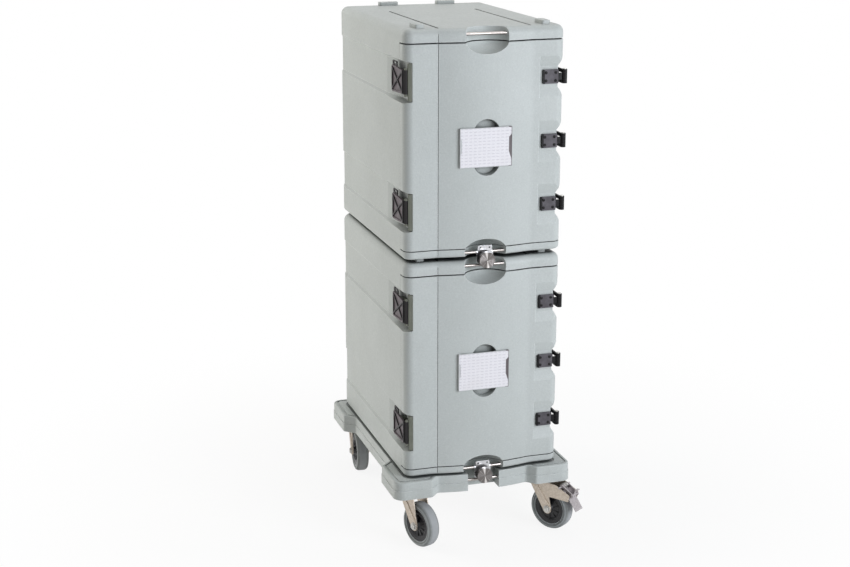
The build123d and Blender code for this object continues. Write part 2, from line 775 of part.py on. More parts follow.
def frame_leaf(z):
    """Leaf on the side of the casing, with an arm forwards to the two outer knuckles."""
    floor_x = WIDTH / 2 - HINGE_SIDE_DEPTH
    inner = HINGE_X - BARREL_RADIUS
    bend = FRAME_LEAF_FRONT - LEAF_THICK
    plan = polygon_face([
        (inner, HINGE_Y, z),
        (inner, bend, z),
        (floor_x, FRAME_LEAF_FRONT, z),
        (floor_x, FRAME_LEAF_REAR, z),
        (floor_x + LEAF_THICK, FRAME_LEAF_REAR, z),
        (floor_x + LEAF_THICK, FRAME_LEAF_FRONT + LEAF_THICK / 2, z),
        (inner + LEAF_THICK, bend + LEAF_THICK / 2, z),
        (inner + LEAF_THICK, HINGE_Y, z),
    ])
    half = HINGE_HEIGHT / 2
    leaf = Pos(0, 0, -half) * extrude(plan, HINGE_HEIGHT, dir=(0, 0, 1))
    gap = DOOR_KNUCKLE / 2 + KNUCKLE_GAP
    leaf += rod_z(BARREL_RADIUS, z - half, z + half, HINGE_X, HINGE_Y)
    leaf -= block(inner - LEAF_THICK, HINGE_X + FAR, -FAR, bend - LEAF_THICK * 2, z - gap, z + gap)
    holes = [frame_screw_hole(height) for height in frame_screw_heights()]
    return leaf - pin_bore(z) - holes


def hinge_pin(z):
    """Headed pin of a hinge."""
    half = HINGE_HEIGHT / 2
    pin = rod_z(HINGE_PIN_RADIUS, z - half, z + half, HINGE_X, HINGE_Y)
    return pin + rod_z(PIN_HEAD_RADIUS, z + half, z + half + PIN_HEAD, HINGE_X, HINGE_Y)


def frame_screw_heights():
    """Heights of the two screws in each frame leaf."""
    drop = HINGE_HEIGHT / 4
    return [z + side * drop for z in HINGE_HEIGHTS for side in (-1, 1)]


def frame_screw_hole(z):
    """Hole for a frame leaf's screw."""
    floor_x = WIDTH / 2 - HINGE_SIDE_DEPTH
    y = (FRAME_LEAF_FRONT + FRAME_LEAF_REAR) / 2
    low = floor_x - SCREW_PAST - SCREW_FIT
    return rod_x(SCREW_RADIUS + SCREW_FIT, low, floor_x + LEAF_THICK + 1, y, z)


def frame_screw(z):
    """Pan-headed screw through a frame leaf."""
    floor_x = WIDTH / 2 - HINGE_SIDE_DEPTH
    y = (FRAME_LEAF_FRONT + FRAME_LEAF_REAR) / 2
    outer = floor_x + LEAF_THICK
    shank = rod_x(SCREW_RADIUS, floor_x - SCREW_PAST, outer, y, z)
    return shank + rod_x(SCREW_HEAD_RADIUS, outer, outer + SCREW_HEAD, y, z)


# Latches

def bracket_screw_places():
    """Y and z of the screws in each latch bracket."""
    y = (KNUCKLE_Y + KNUCKLE_RADIUS + BRACKET_REAR) / 2
    reach = BRACKET_HALF - SCREW_HEAD_RADIUS - 1
    return [(y, z + side * reach) for z in LATCH_HEIGHTS for side in (-1, 1)]


def bracket_screw_hole(y, z):
    """Hole for a bracket screw."""
    floor_x = POCKET_DEPTH - WIDTH / 2
    return rod_x(SCREW_RADIUS + SCREW_FIT, floor_x - BRACKET_PLATE - 1,
                 floor_x + SCREW_PAST + SCREW_FIT, y, z)


def bracket_screw(y, z):
    """Pan-headed screw through a latch bracket."""
    floor_x = POCKET_DEPTH - WIDTH / 2
    outer = floor_x - BRACKET_PLATE
    shank = rod_x(SCREW_RADIUS, outer, floor_x + SCREW_PAST, y, z)
    return shank + rod_x(SCREW_HEAD_RADIUS, outer - SCREW_HEAD, outer, y, z)


def bracket_cheek(z):
    """Front cheek of a latch bracket, which closes the pocket and follows the door's corner."""
    floor_x = POCKET_DEPTH - WIDTH / 2
    half = POCKET_FLOOR - CHEEK_GAP
    back = KNUCKLE_Y - KNUCKLE_RADIUS - CHEEK_GAP
    cheek = block(floor_x - CHEEK_WIDTH, floor_x, 0, back, z - half, z + half)
    cheek = fillet(cheek.edges().filter_by(Axis.Y), SCREW_HEAD_RADIUS)
    return cheek & upright(container_plan(BRACKET_FRONT), z - half, z + half)


def latch_bracket(z):
    """Bracket on the pocket's floor, with an ear above and below the lever's knuckle."""
    floor_x = POCKET_DEPTH - WIDTH / 2
    outer = floor_x - BRACKET_PLATE
    bracket = block(outer, floor_x, BRACKET_FRONT, BRACKET_REAR, z - BRACKET_HALF, z + BRACKET_HALF)
    bracket = fillet(bracket.edges().filter_by(Axis.X), SCREW_HEAD_RADIUS)
    bracket += bracket_cheek(z)
    gap = KNUCKLE_LENGTH / 2 + BRACKET_EAR_GAP
    for side in (-1, 1):
        near = z + side * gap
        ear_middle = near + side * BRACKET_EAR / 2
        low = ear_middle - BRACKET_EAR / 2
        ear = rod_z(KNUCKLE_RADIUS, low, low + BRACKET_EAR, KNUCKLE_X, KNUCKLE_Y)
        ear += block(KNUCKLE_X, outer, KNUCKLE_Y - KNUCKLE_RADIUS, KNUCKLE_Y + KNUCKLE_RADIUS,
                     low, low + BRACKET_EAR)
        bracket += ear
    bore_half = gap + BRACKET_EAR + 1
    bracket -= rod_z(LATCH_PIN_RADIUS + LATCH_PIN_FIT, z - bore_half, z + bore_half,
                     KNUCKLE_X, KNUCKLE_Y)
    return bracket - [bracket_screw_hole(y, height) for y, height in bracket_screw_places()]


def latch_pin(z):
    """Pin through the bracket's ears and the lever's knuckle."""
    half = KNUCKLE_LENGTH / 2 + BRACKET_EAR_GAP + BRACKET_EAR
    return rod_z(LATCH_PIN_RADIUS, z - half, z + half, KNUCKLE_X, KNUCKLE_Y)


def lever_outline(inset):
    """Side outline of a lever, wider at its free end, with rounded rear corners."""
    front = LEVER_FRONT + inset
    rear = LEVER_REAR - inset
    front_half = LEVER_FRONT_HEIGHT / 2 - inset
    rear_half = LEVER_REAR_HEIGHT / 2 - inset
    outline = make_face(Polyline((front, -front_half), (rear, -rear_half), (rear, rear_half),
                                 (front, front_half), close=True))
    corners = outline.vertices().group_by(Axis.X)[-1]
    return fillet(corners, LEVER_ROUND - inset)


def lever_tab():
    """Slotted tab that rises over a lever's free end."""
    middle = LEVER_REAR - TAB_LENGTH / 2
    edge = LEVER_REAR_HEIGHT / 2
    low = edge - LEVER_ROUND
    high = edge + TAB_HEIGHT
    tab = Pos(middle, (low + high) / 2) * RectangleRounded(TAB_LENGTH, high - low, TAB_ROUND)
    return tab - Pos(middle, edge + TAB_HEIGHT / 2) * SlotOverall(TAB_SLOT_LENGTH, TAB_SLOT_HEIGHT)


def lever_ribs():
    """Two crossed ribs between the corners of a lever's dish."""
    length = LEVER_REAR - LEVER_FRONT - LEVER_RIM * 2
    height = LEVER_FRONT_HEIGHT - LEVER_RIM * 2
    middle = (LEVER_FRONT + LEVER_REAR) / 2
    lean = degrees(atan2(height, length))
    bar = Rectangle(sqrt(length ** 2 + height ** 2), LEVER_RIM)
    return Sketch() + [Pos(middle, 0) * Rot(0, 0, side * lean) * bar for side in (-1, 1)]


def latch_lever(z):
    """Lever with a ribbed dish outside, a knuckle at the front and a tab at the free end."""
    outer = -WIDTH / 2 - LEVER_PROUD
    dish_x = outer + LEVER_RIB
    inner = dish_x + LEVER_PLATE
    back = Plane(origin=(inner, 0, z), x_dir=(0, 1, 0), z_dir=(1, 0, 0))
    dish = Plane(origin=(dish_x, 0, z), x_dir=(0, 1, 0), z_dir=(1, 0, 0))
    lever = extrude(back * lever_outline(0), -(LEVER_PLATE + LEVER_RIB))
    lever -= extrude(dish * lever_outline(LEVER_RIM), -LEVER_RIB - 1)
    lever += extrude(dish * (lever_ribs() & lever_outline(LEVER_RIM / 2)), -LEVER_RIB)
    lever += extrude(back * lever_tab(), -LEVER_PLATE)
    half = KNUCKLE_LENGTH / 2
    lever += rod_z(KNUCKLE_RADIUS, z - half, z + half, KNUCKLE_X, KNUCKLE_Y)
    web = block(dish_x, inner, KNUCKLE_Y, LEVER_FRONT + LEVER_RIM, z - half, z + half)
    bore = rod_z(LATCH_PIN_RADIUS + LATCH_PIN_FIT, z - half - 1, z + half + 1, KNUCKLE_X, KNUCKLE_Y)
    return lever + web - bore


def strike_screw_heights():
    """Heights of the two screws in each strike."""
    reach = STRIKE_HALF - SCREW_HEAD_RADIUS * 2
    return [z + side * reach for z in LATCH_HEIGHTS for side in (-1, 1)]


def strike_outer():
    """X of the strike's face under the lever."""
    return LEVER_RIB + LEVER_PLATE - LEVER_PROUD - WIDTH / 2 + STRIKE_GAP


def strike_screw_hole(z):
    """Countersunk hole for a strike's screw."""
    floor_x = POCKET_DEPTH - WIDTH / 2
    y = (STRIKE_FRONT + STRIKE_REAR) / 2
    return rod_x(SCREW_RADIUS + SCREW_FIT, strike_outer() - 1, floor_x + SCREW_PAST + SCREW_FIT, y, z)


def strike_screw(z):
    """Sunk screw of a strike."""
    floor_x = POCKET_DEPTH - WIDTH / 2
    y = (STRIKE_FRONT + STRIKE_REAR) / 2
    sunk = strike_outer() + SCREW_HEAD
    shank = rod_x(SCREW_RADIUS, sunk, floor_x + SCREW_PAST, y, z)
    return shank + rod_x(SCREW_HEAD_RADIUS, sunk - SCREW_HEAD / 2, sunk + SCREW_HEAD / 2, y, z)


def latch_strike(z):
    """Block on the pocket's floor that the lever closes over, with a sloping front."""
    floor_x = POCKET_DEPTH - WIDTH / 2
    outer = strike_outer()
    slope = (floor_x - outer) / 2
    plan = polygon_face([
        (floor_x, STRIKE_FRONT - slope / 2, z - STRIKE_HALF),
        (outer, STRIKE_FRONT, z - STRIKE_HALF),
        (outer, STRIKE_REAR, z - STRIKE_HALF),
        (floor_x, STRIKE_REAR, z - STRIKE_HALF),
    ])
    strike = extrude(plan, STRIKE_HALF * 2, dir=(0, 0, 1))
    y = (STRIKE_FRONT + STRIKE_REAR) / 2
    for height in strike_screw_heights():
        strike -= strike_screw_hole(height)
        strike -= rod_x(SCREW_HEAD_RADIUS + SCREW_FIT, outer - 1, outer + SCREW_HEAD * 3 / 2, y, height)
    return strike


# Label

def label_plane(y):
    """Plane that faces forwards at a given depth, at the middle of the label."""
    return Plane(origin=(LABEL_X, y, LABEL_Z), x_dir=(1, 0, 0), z_dir=(0, -1, 0))


def label_outline(grow):
    """Label card with a shallow notch on the left and a deeper finger cut on the right."""
    half = LABEL_WIDTH / 2 + grow
    high = LABEL_HEIGHT / 2 + grow
    cut = LABEL_HEIGHT / 4
    return make_face(Polyline(
        (-half, -high), (half, -high), (half, -high / 2 - cut / 3), (half - LABEL_CUT, -cut / 2),
        (half - LABEL_CUT, cut), (half, cut + LABEL_CUT), (half, high), (-half, high),
        (-half, cut), (-half + LABEL_CUT / 2, cut - LABEL_CUT / 2), (-half + LABEL_CUT / 2, -cut / 2),
        (-half, -cut / 2 - LABEL_CUT / 2), close=True))


def label_holder():
    """Holder plate behind the card, with a shallow rim, seated on the bowed front."""
    front = -BOW_RISE - LABEL_BACK
    plate = Rectangle(LABEL_WIDTH + LABEL_LIP * 2, LABEL_HEIGHT + LABEL_LIP * 2)
    holder = extrude(label_plane(FAR / 4) * plate, FAR / 4 - front)
    behind = upright(container_plan(0), DOOR_LOW, DOOR_TOP)
    holder = holder - behind
    window = extrude(label_plane(front + LABEL_CARD) * Rectangle(LABEL_WIDTH, LABEL_HEIGHT), FAR)
    return holder - window


def label_card():
    """Bare card in the holder."""
    front = -BOW_RISE - LABEL_BACK
    return extrude(label_plane(front + LABEL_CARD) * label_outline(0), LABEL_CARD)


# Clasps

def strap_tab(upper_z):
    """Upright tab of a strap, over the front of the bar that it hooks on."""
    half = STRAP_TAB_WIDTH / 2
    back = -ROD_RADIUS - ROD_FIT
    tab = block(-half, half, back - STRAP_THICK, back, upper_z, upper_z + STRAP_TAB_RISE)
    return fillet(tab.edges().filter_by(Axis.Y).group_by(Axis.Z)[-1], STRAP_TAB_ROUND)


def clasp_strap(upper_z, knob_z):
    """Strap hooked over the upper bar, with a hole for the knob's shaft."""
    hook = ROD_RADIUS + ROD_FIT
    outer = hook + STRAP_THICK
    tail = knob_z - STRAP_TAIL
    profile = make_face([
        Line((-outer, tail), (-outer, upper_z)),
        ThreePointArc((-outer, upper_z), (0, upper_z + outer), (outer, upper_z)),
        Line((outer, upper_z), (outer, upper_z - outer)),
        Line((outer, upper_z - outer), (hook, upper_z - outer)),
        Line((hook, upper_z - outer), (hook, upper_z)),
        ThreePointArc((hook, upper_z), (0, upper_z + hook), (-hook, upper_z)),
        Line((-hook, upper_z), (-hook, tail)),
        Line((-hook, tail), (-outer, tail)),
    ])
    side = Plane(origin=(-STRAP_WIDTH / 2, 0, 0), x_dir=(0, 1, 0), z_dir=(1, 0, 0))
    strap = extrude(side * profile, STRAP_WIDTH)
    tail_corners = strap.edges().filter_by(Axis.Y).group_by(Axis.Z)[0]
    strap = fillet(tail_corners, STRAP_TAIL / 2)
    bores = [rod_y(SHAFT_RADIUS + SHAFT_FIT, -FAR / 2, FAR / 2, 0, knob_z)]
    bores += [rod_y(STRAP_HOLE_RADIUS, -FAR / 2, FAR / 2, side * STRAP_HOLE_X, upper_z + STRAP_HOLE_RISE)
              for side in (-1, 1)]
    return strap + strap_tab(upper_z) - bores


def clasp_knob(knob_z):
    """Turned knob with a shaft and a crossbar that locks behind the lower bar."""
    back = KNOB_FRONT_Y + KNOB_THICK
    bar_front = ROD_RADIUS + CROSSBAR_GAP
    disc = rod_y(KNOB_RADIUS, KNOB_FRONT_Y, back, 0, knob_z)
    disc = chamfer(disc.edges().filter_by(GeomType.CIRCLE), KNOB_EDGE)
    shaft = rod_y(SHAFT_RADIUS, back - KNOB_EDGE, bar_front + CROSSBAR_THICK, 0, knob_z)
    collar_end = -ROD_RADIUS - ROD_FIT - STRAP_THICK - SEAL_GAP
    collar = rod_y(COLLAR_RADIUS, back - KNOB_EDGE, collar_end, 0, knob_z)
    bar = block(-CROSSBAR_WIDTH / 2, CROSSBAR_WIDTH / 2, bar_front, bar_front + CROSSBAR_THICK,
                knob_z - CROSSBAR_HALF, knob_z + COLLAR_RADIUS)
    bar = fillet(bar.edges().filter_by(Axis.Y), CROSSBAR_WIDTH / 4)
    return disc + shaft + collar + bar


# Dolly

def dolly_plan(inset):
    """Plan outline of the dolly: a corner pad at each corner and drawn-in sides between them."""
    half = WIDTH / 2
    pad_x = half + PAD_SIDE
    side_x = half + SIDE_OVERHANG
    front_pad = -PAD_FRONT
    front = -FRONT_OVERHANG
    rear_pad = DEPTH + PAD_FRONT
    rear = DEPTH + REAR_OVERHANG
    near_end = PAD_REACH
    far_end = DEPTH - PAD_REACH
    right = [
        (BOW_HALF, front), (PAD_INNER, front_pad), (pad_x, front_pad), (pad_x, near_end),
        (side_x, near_end + PAD_FACET), (side_x, far_end - PAD_FACET), (pad_x, far_end),
        (pad_x, rear_pad), (PAD_INNER, rear_pad), (BOW_HALF, rear),
    ]
    left = [(-x, y) for x, y in reversed(right)]
    points = right + left
    edges = [Line(a, b) for a, b in zip(points, points[1:])]
    edges.append(ThreePointArc(points[-1], (0, front - BOW_RISE), points[0]))
    face = Face(Wire(edges))
    pads = [v for v in face.vertices() if abs(v.X) > pad_x - 1 and (v.Y < 0 or v.Y > DEPTH)]
    face = face.fillet_2d(PAD_CORNER, pads)
    facet_x = (BOW_HALF, PAD_INNER, side_x)
    facets = [v for v in face.vertices() if min(abs(abs(v.X) - x) for x in facet_x) < 0.1]
    face = face.fillet_2d(FACET_RADIUS, facets)
    ends = [v for v in face.vertices() if abs(v.X) > pad_x - 0.1 and (
        abs(v.Y - near_end) < 0.1 or abs(v.Y - far_end) < 0.1)]
    face = face.fillet_2d(FACET_RADIUS, ends)
    if inset == 0:
        return face
    return Face(face.outer_wire().offset_2d(-inset))


def deck_seat(grow):
    """Space over the deck that the lower container stands in."""
    plan = container_plan(-FRONT_OVERHANG / 2 - grow)
    return upright(plan, DECK_Z, DECK_Z + FAR)


def castor_pads(z_low, z_high, grow):
    """Solid blocks over the four castor plates."""
    half_x = PLATE_WIDTH / 2 + grow
    half_y = PLATE_LENGTH / 2 + grow
    return [block(x - half_x, x + half_x, y - half_y, y + half_y, z_low, z_high)
            for _, x, y, _, _ in CASTORS]


def dolly_deck():
    """Moulded platform with a skirt, corner pads, a notch for the clasp and seating lugs."""
    lip = DECK_Z + DECK_LIP
    deck = upright(dolly_plan(0), SKIRT_LOW, PARTING_Z)
    upper = upright(dolly_plan(PARTING_STEP), PARTING_Z, lip)
    upper = fillet(upper.edges().group_by(Axis.Z)[-1], DECK_LIP * 2)
    deck += upper
    channel = upright(dolly_plan(RIM_INSET), DECK_Z, lip + 1)
    channel -= upright(dolly_plan(RIM_INSET + RIM_CHANNEL), DECK_Z - 1, lip + 2)
    deck = deck - channel - deck_seat(0)
    notch = block(-NOTCH_HALF, NOTCH_HALF, -FAR, NOTCH_BACK, 0, DECK_Z + FAR)
    underside = upright(dolly_plan(SKIRT_WALL), SKIRT_LOW - 1, UNDERSIDE_Z)
    underside -= block(-NOTCH_HALF - SKIRT_WALL, NOTCH_HALF + SKIRT_WALL, -FAR,
                       NOTCH_BACK + SKIRT_WALL, 0, DECK_Z)
    void = upright(dolly_plan(RIM_INSET), UNDERSIDE_Z + DECK_WALL, DECK_Z - DECK_WALL)
    void -= block(-NOTCH_HALF - ROD_SEAT - DECK_WALL, NOTCH_HALF + ROD_SEAT + DECK_WALL, -FAR,
                  NOTCH_BACK + DECK_WALL, 0, DECK_Z)
    void -= castor_pads(0, DECK_Z, DECK_WALL)
    seat = NOTCH_HALF + ROD_SEAT + SEAL_GAP
    rod_bore = rod_x(ROD_RADIUS + ROD_FIT, -seat, seat, 0, DOLLY_ROD_Z)
    bolts = [rod_z(BOLT_RADIUS + SCREW_FIT, UNDERSIDE_Z - 1, UNDERSIDE_Z + BOLT_PAST + SCREW_FIT, x, y)
             for x, y in castor_bolt_places()]
    deck = deck - notch - underside - void - rod_bore - bolts
    return deck + [top_lug(*place, DECK_LUG, DECK_Z) for place in lug_places()]


# Castors, made round their swivel axis with the wheel trailing towards +Y

def turned(shape, x, y, angle):
    """Castor piece turned to its rest angle and put in place."""
    return Pos(x, y, 0) * Rot(0, 0, 180 + angle) * shape


def castor_bolt_places():
    """X and y of all the castor bolts."""
    return [(x + side_x * BOLT_SPACING_X / 2, y + side_y * BOLT_SPACING_Y / 2)
            for _, x, y, _, _ in CASTORS for side_x in (-1, 1) for side_y in (-1, 1)]


def castor_plate(x, y):
    """Top plate with the kingpin that the fork turns on."""
    low = UNDERSIDE_Z - PLATE_THICK
    plan = Pos(x, y) * RectangleRounded(PLATE_WIDTH, PLATE_LENGTH, PLATE_CORNER)
    plate = Pos(0, 0, low) * extrude(plan, PLATE_THICK)
    foot = CROWN_Z - CROWN_THICK - FORK_GAP
    plate += rod_z(KINGPIN_RADIUS, foot, low, x, y)
    plate += rod_z(KINGPIN_HEAD, foot - PLATE_THICK, foot, x, y)
    holes = [rod_z(BOLT_RADIUS + SCREW_FIT, low - 1, UNDERSIDE_Z + 1, bolt_x, bolt_y)
             for bolt_x, bolt_y in castor_bolt_places()]
    return plate - holes


def castor_bolt(x, y):
    """Hexagon bolt of a castor plate."""
    low = UNDERSIDE_Z - PLATE_THICK
    head = Pos(x, y, low - BOLT_HEAD) * extrude(RegularPolygon(BOLT_HEAD_RADIUS, 6), BOLT_HEAD)
    return head + rod_z(BOLT_RADIUS, low, UNDERSIDE_Z + BOLT_PAST, x, y)


def side_plate(sketch, x_low, x_high):
    """Sketch in (trail, height) raised between two values of x."""
    plane = Plane(origin=(x_low, 0, 0), x_dir=(0, 1, 0), z_dir=(1, 0, 0))
    return extrude(plane * sketch, x_high - x_low)


def leg_outline(braked):
    """Outline of a fork leg, with the arm that carries the brake."""
    end = Pos(TRAIL, WHEEL_RADIUS) * Circle(LEG_END_RADIUS)
    top = Line((-LEG_TOP_LEAD, CROWN_Z), (LEG_TOP_TRAIL, CROWN_Z))
    leg = make_hull(end.edges() + top.edges())
    if braked:
        arm_end = PEDAL_PIVOT_T + LEG_TOP_TRAIL
        leg += Polygon((LEG_TOP_TRAIL, WHEEL_RADIUS + LEG_END_RADIUS),
                       (LEG_TOP_TRAIL + LEG_END_RADIUS, WHEEL_RADIUS + TRAIL),
                       (arm_end - CROWN_THICK, WHEEL_RADIUS + TRAIL),
                       (arm_end, WHEEL_RADIUS * 2 - LEG_END_RADIUS / 2),
                       (LEG_TOP_TRAIL * 2, CROWN_Z - CROWN_THICK), (0, CROWN_Z), align=None)
    return leg


def leg_rib_outline():
    """Raised strip along the leading edge of a fork leg."""
    end = Pos(TRAIL, WHEEL_RADIUS) * Circle(LEG_END_RADIUS)
    top = Line((-LEG_TOP_LEAD, CROWN_Z), (-LEG_TOP_LEAD / 3, CROWN_Z))
    return make_hull(end.edges() + top.edges())


def fork(braked):
    """Pressed fork: crown, race ring, two legs and, with a brake, the arms that carry it."""
    outer = LEG_INNER + LEG_THICK
    crown_low = CROWN_Z - CROWN_THICK
    body = block(-outer, outer, -LEG_TOP_LEAD, LEG_TOP_TRAIL, crown_low, CROWN_Z)
    body += rod_z(RACE_RADIUS, crown_low, UNDERSIDE_Z - PLATE_THICK - FORK_GAP, 0, 0)
    body -= rod_z(RACE_RADIUS * 2 / 3, CROWN_Z, UNDERSIDE_Z, 0, 0)
    for side in (-1, 1):
        low = min(side * LEG_INNER, side * outer)
        body += side_plate(leg_outline(braked), low, low + LEG_THICK)
        rib_low = min(side * outer, side * (outer + LEG_RIB))
        body += side_plate(leg_rib_outline(), rib_low, rib_low + LEG_RIB)
    body -= rod_z(KINGPIN_RADIUS + KINGPIN_FIT, crown_low - 1, UNDERSIDE_Z, 0, 0)
    body -= rod_x(AXLE_RADIUS + AXLE_FIT, -AXLE_END, AXLE_END, TRAIL, WHEEL_RADIUS)
    if braked:
        body -= rod_x(PEDAL_PIN_RADIUS + PEDAL_PIN_FIT, -AXLE_END, AXLE_END,
                      PEDAL_PIVOT_T, PEDAL_PIVOT_Z)
    return body


def axle():
    """Axle bolt with a hexagon head and nut outside the legs."""
    face_x = LEG_INNER + LEG_THICK + LEG_RIB
    bolt = rod_x(AXLE_RADIUS, -AXLE_END, AXLE_END, TRAIL, WHEEL_RADIUS)
    nut = AXLE_END - AXLE_PAST_NUT - face_x
    hexagon = Pos(TRAIL, WHEEL_RADIUS) * RegularPolygon(AXLE_HEX, 6)
    for low in (-face_x - nut, face_x):
        bolt += side_plate(hexagon, low, low + nut)
    return bolt


def ring_about_axle(points):
    """Ring with a section given as (radius, x) points, turned about the wheel's axle."""
    section = make_face(Polyline(*[(x, radius) for radius, x in points], close=True))
    ring = revolve(section, Axis.X)
    return Pos(0, TRAIL, WHEEL_RADIUS) * ring


def wheel_rim():
    """Wheel centre: hub, web and the seat of the tyre, with a cover disc on each side."""
    half = WHEEL_WIDTH / 2
    bore = AXLE_RADIUS + AXLE_FIT
    hub_end = LEG_INNER - FORK_GAP
    rim_x = half - RIM_STEP
    dish = (HUB_COVER - COVER_SLOPE, half - RIM_DISH)
    profile = [(bore, hub_end), (HUB_RADIUS, hub_end), (HUB_RADIUS, rim_x), dish,
               (HUB_COVER, rim_x), (TYRE_INNER, rim_x)]
    return ring_about_axle(profile + [(radius, -x) for radius, x in reversed(profile)])


def wheel_tyre():
    """Rubber tyre with stepped sidewalls and a rounded tread."""
    half = WHEEL_WIDTH / 2
    bead = half - BEAD_STEP
    bead_top = TYRE_INNER + BEAD_HEIGHT
    wall_low = bead_top + BEAD_SLOPE
    wall_high = WHEEL_RADIUS - TREAD_ROUND
    tread = half - TREAD_ROUND
    bend = TREAD_ROUND * (1 - sqrt(0.5))
    arc_x = half - bend
    arc_r = WHEEL_RADIUS - bend
    section = make_face([
        Line((-bead, TYRE_INNER), (bead, TYRE_INNER)),
        Line((bead, TYRE_INNER), (bead, bead_top)),
        Line((bead, bead_top), (half, wall_low)),
        Line((half, wall_low), (half, wall_high)),
        ThreePointArc((half, wall_high), (arc_x, arc_r), (tread, WHEEL_RADIUS)),
        Line((tread, WHEEL_RADIUS), (-tread, WHEEL_RADIUS)),
        ThreePointArc((-tread, WHEEL_RADIUS), (-arc_x, arc_r), (-half, wall_high)),
        Line((-half, wall_high), (-half, wall_low)),
        Line((-half, wall_low), (-bead, bead_top)),
        Line((-bead, bead_top), (-bead, TYRE_INNER)),
    ])
    return Pos(0, TRAIL, WHEEL_RADIUS) * revolve(section, Axis.X)


def brake_pedal():
    """Brake lever between the fork's arms: two cheeks, a crossbar, a pedal and a release tab."""
    bar_t = PEDAL_PIVOT_T + BAR_PAST_PIVOT
    bar_z = PEDAL_PIVOT_Z - BAR_BELOW_PIVOT
    pivot = Pos(PEDAL_PIVOT_T, PEDAL_PIVOT_Z) * Circle(PEDAL_EYE)
    bar = Pos(bar_t, bar_z) * Circle(BAR_EYE)
    cheek = make_hull(pivot.edges() + bar.edges())
    pedal = side_plate(cheek, -PEDAL_CHEEK, -PEDAL_CHEEK + PEDAL_PLATE)
    pedal += side_plate(cheek, PEDAL_CHEEK - PEDAL_PLATE, PEDAL_CHEEK)
    pin_end = LEG_INNER + LEG_THICK + LEG_RIB
    bar_end = PEDAL_CHEEK + BAR_PAST_CHEEK
    pedal += rod_x(PEDAL_PIN_RADIUS, -pin_end, pin_end, PEDAL_PIVOT_T, PEDAL_PIVOT_Z)
    pedal += rod_x(PEDAL_PIN_RADIUS * 2, -PEDAL_CHEEK, PEDAL_CHEEK, PEDAL_PIVOT_T, PEDAL_PIVOT_Z)
    pedal += rod_x(BAR_RADIUS, -bar_end, bar_end, bar_t, bar_z)
    start = (PEDAL_PIVOT_T + PEDAL_START, PEDAL_PIVOT_Z - PEDAL_START)
    knee = (bar_t - KNEE_BEFORE_BAR, bar_z - KNEE_DROP)
    toe = (bar_t + TOE_PAST_BAR, bar_z - TOE_DROP)
    pedal += side_plate(trace(Polyline(start, knee, toe), PEDAL_PLATE), -PEDAL_HALF, PEDAL_HALF)
    bend = (bar_t + RELEASE_LEAN, bar_z + RELEASE_RISE)
    tip = (bend[0] + RELEASE_LEAN, bend[1] + 1)
    release = trace(Polyline((bar_t, bar_z), bend, tip), PEDAL_PLATE)
    pedal += side_plate(release, -RELEASE_HALF, RELEASE_HALF)
    shoe = Pos(PEDAL_PIVOT_T + SHOE_PAST_PIVOT, PEDAL_PIVOT_Z - SHOE_DROP) * Rectangle(SHOE_THICK, SHOE_HEIGHT)
    return pedal + side_plate(shoe, -SHOE_HALF, SHOE_HALF)


# Nodes

CONTAINER_PIECES = [
    ("casing", casing),
    ("liner", liner),
    ("door_skin", door_skin),
    ("door_liner", door_liner),
    ("door_foam", door_foam),
    ("door_gasket", door_gasket),
    ("label_holder", label_holder),
    ("label_card", label_card),
]


def group(shapes):
    """Separate solids that share one node."""
    return Compound([solid for shape in shapes for solid in shape.solids()])


def container_nodes():
    """Casing, liner, door and hardware of both containers."""
    nodes = {}
    for name, make in CONTAINER_PIECES:
        nodes[f"{name}_lower"], nodes[f"{name}_upper"] = on_both(make())
    door_groups = {
        "hinge_door_leaves": [door_leaf(z) for z in HINGE_HEIGHTS],
        "latch_brackets": [latch_bracket(z) for z in LATCH_HEIGHTS],
        "latch_pins": [latch_pin(z) for z in LATCH_HEIGHTS],
        "door_screws": [leaf_screw(x, z) for x, z in leaf_screw_places()]
                       + [bracket_screw(y, z) for y, z in bracket_screw_places()],
    }
    for name, shapes in door_groups.items():
        nodes[f"{name}_lower"], nodes[f"{name}_upper"] = on_both(group(shapes))
    for name, z in zip(("low", "top"), LATCH_HEIGHTS):
        lower, upper = on_both(latch_lever(z))
        nodes[f"latch_lever_{name}_lower"] = lower
        nodes[f"latch_lever_{name}_upper"] = upper
    body_groups = {
        "foam_cores": [foam_core()],
        "hinge_frame_leaves": [frame_leaf(z) for z in HINGE_HEIGHTS],
        "hinge_pins": [hinge_pin(z) for z in HINGE_HEIGHTS],
        "latch_strikes": [latch_strike(z) for z in LATCH_HEIGHTS],
        "casing_screws": [frame_screw(z) for z in frame_screw_heights()]
                         + [strike_screw(z) for z in strike_screw_heights()],
    }
    for name, shapes in body_groups.items():
        nodes[name] = group(on_both(group(shapes)))
    return nodes


def clasp_nodes():
    """Straps and knobs of the two clasps."""
    upper = (UPPER_BASE + LOW_ROD_Z, UPPER_CLASP_Z)
    lower = (LOWER_BASE + LOW_ROD_Z, LOWER_CLASP_Z)
    return {
        "grab_rods": group(grab_rods()),
        "clasp_straps": group([clasp_strap(*lower), clasp_strap(*upper)]),
        "clasp_knob_lower": clasp_knob(LOWER_CLASP_Z),
        "clasp_knob_upper": clasp_knob(UPPER_CLASP_Z),
    }


def dolly_nodes():
    """Dolly and its four castors."""
    nodes = {
        "dolly_deck": dolly_deck(),
        "castor_plates": group([castor_plate(x, y) for _, x, y, _, _ in CASTORS]),
        "castor_bolts": group([castor_bolt(x, y) for x, y in castor_bolt_places()]),
    }
    for name, x, y, angle, braked in CASTORS:
        pieces = {
            "castor_fork": fork(braked),
            "castor_axle": axle(),
            "wheel_rim": wheel_rim(),
            "wheel_tyre": wheel_tyre(),
        }
        if braked:
            pieces["brake_pedal"] = brake_pedal()
        for piece, shape in pieces.items():
            nodes[f"{piece}_{name}"] = turned(shape, x, y, angle)
    return nodes


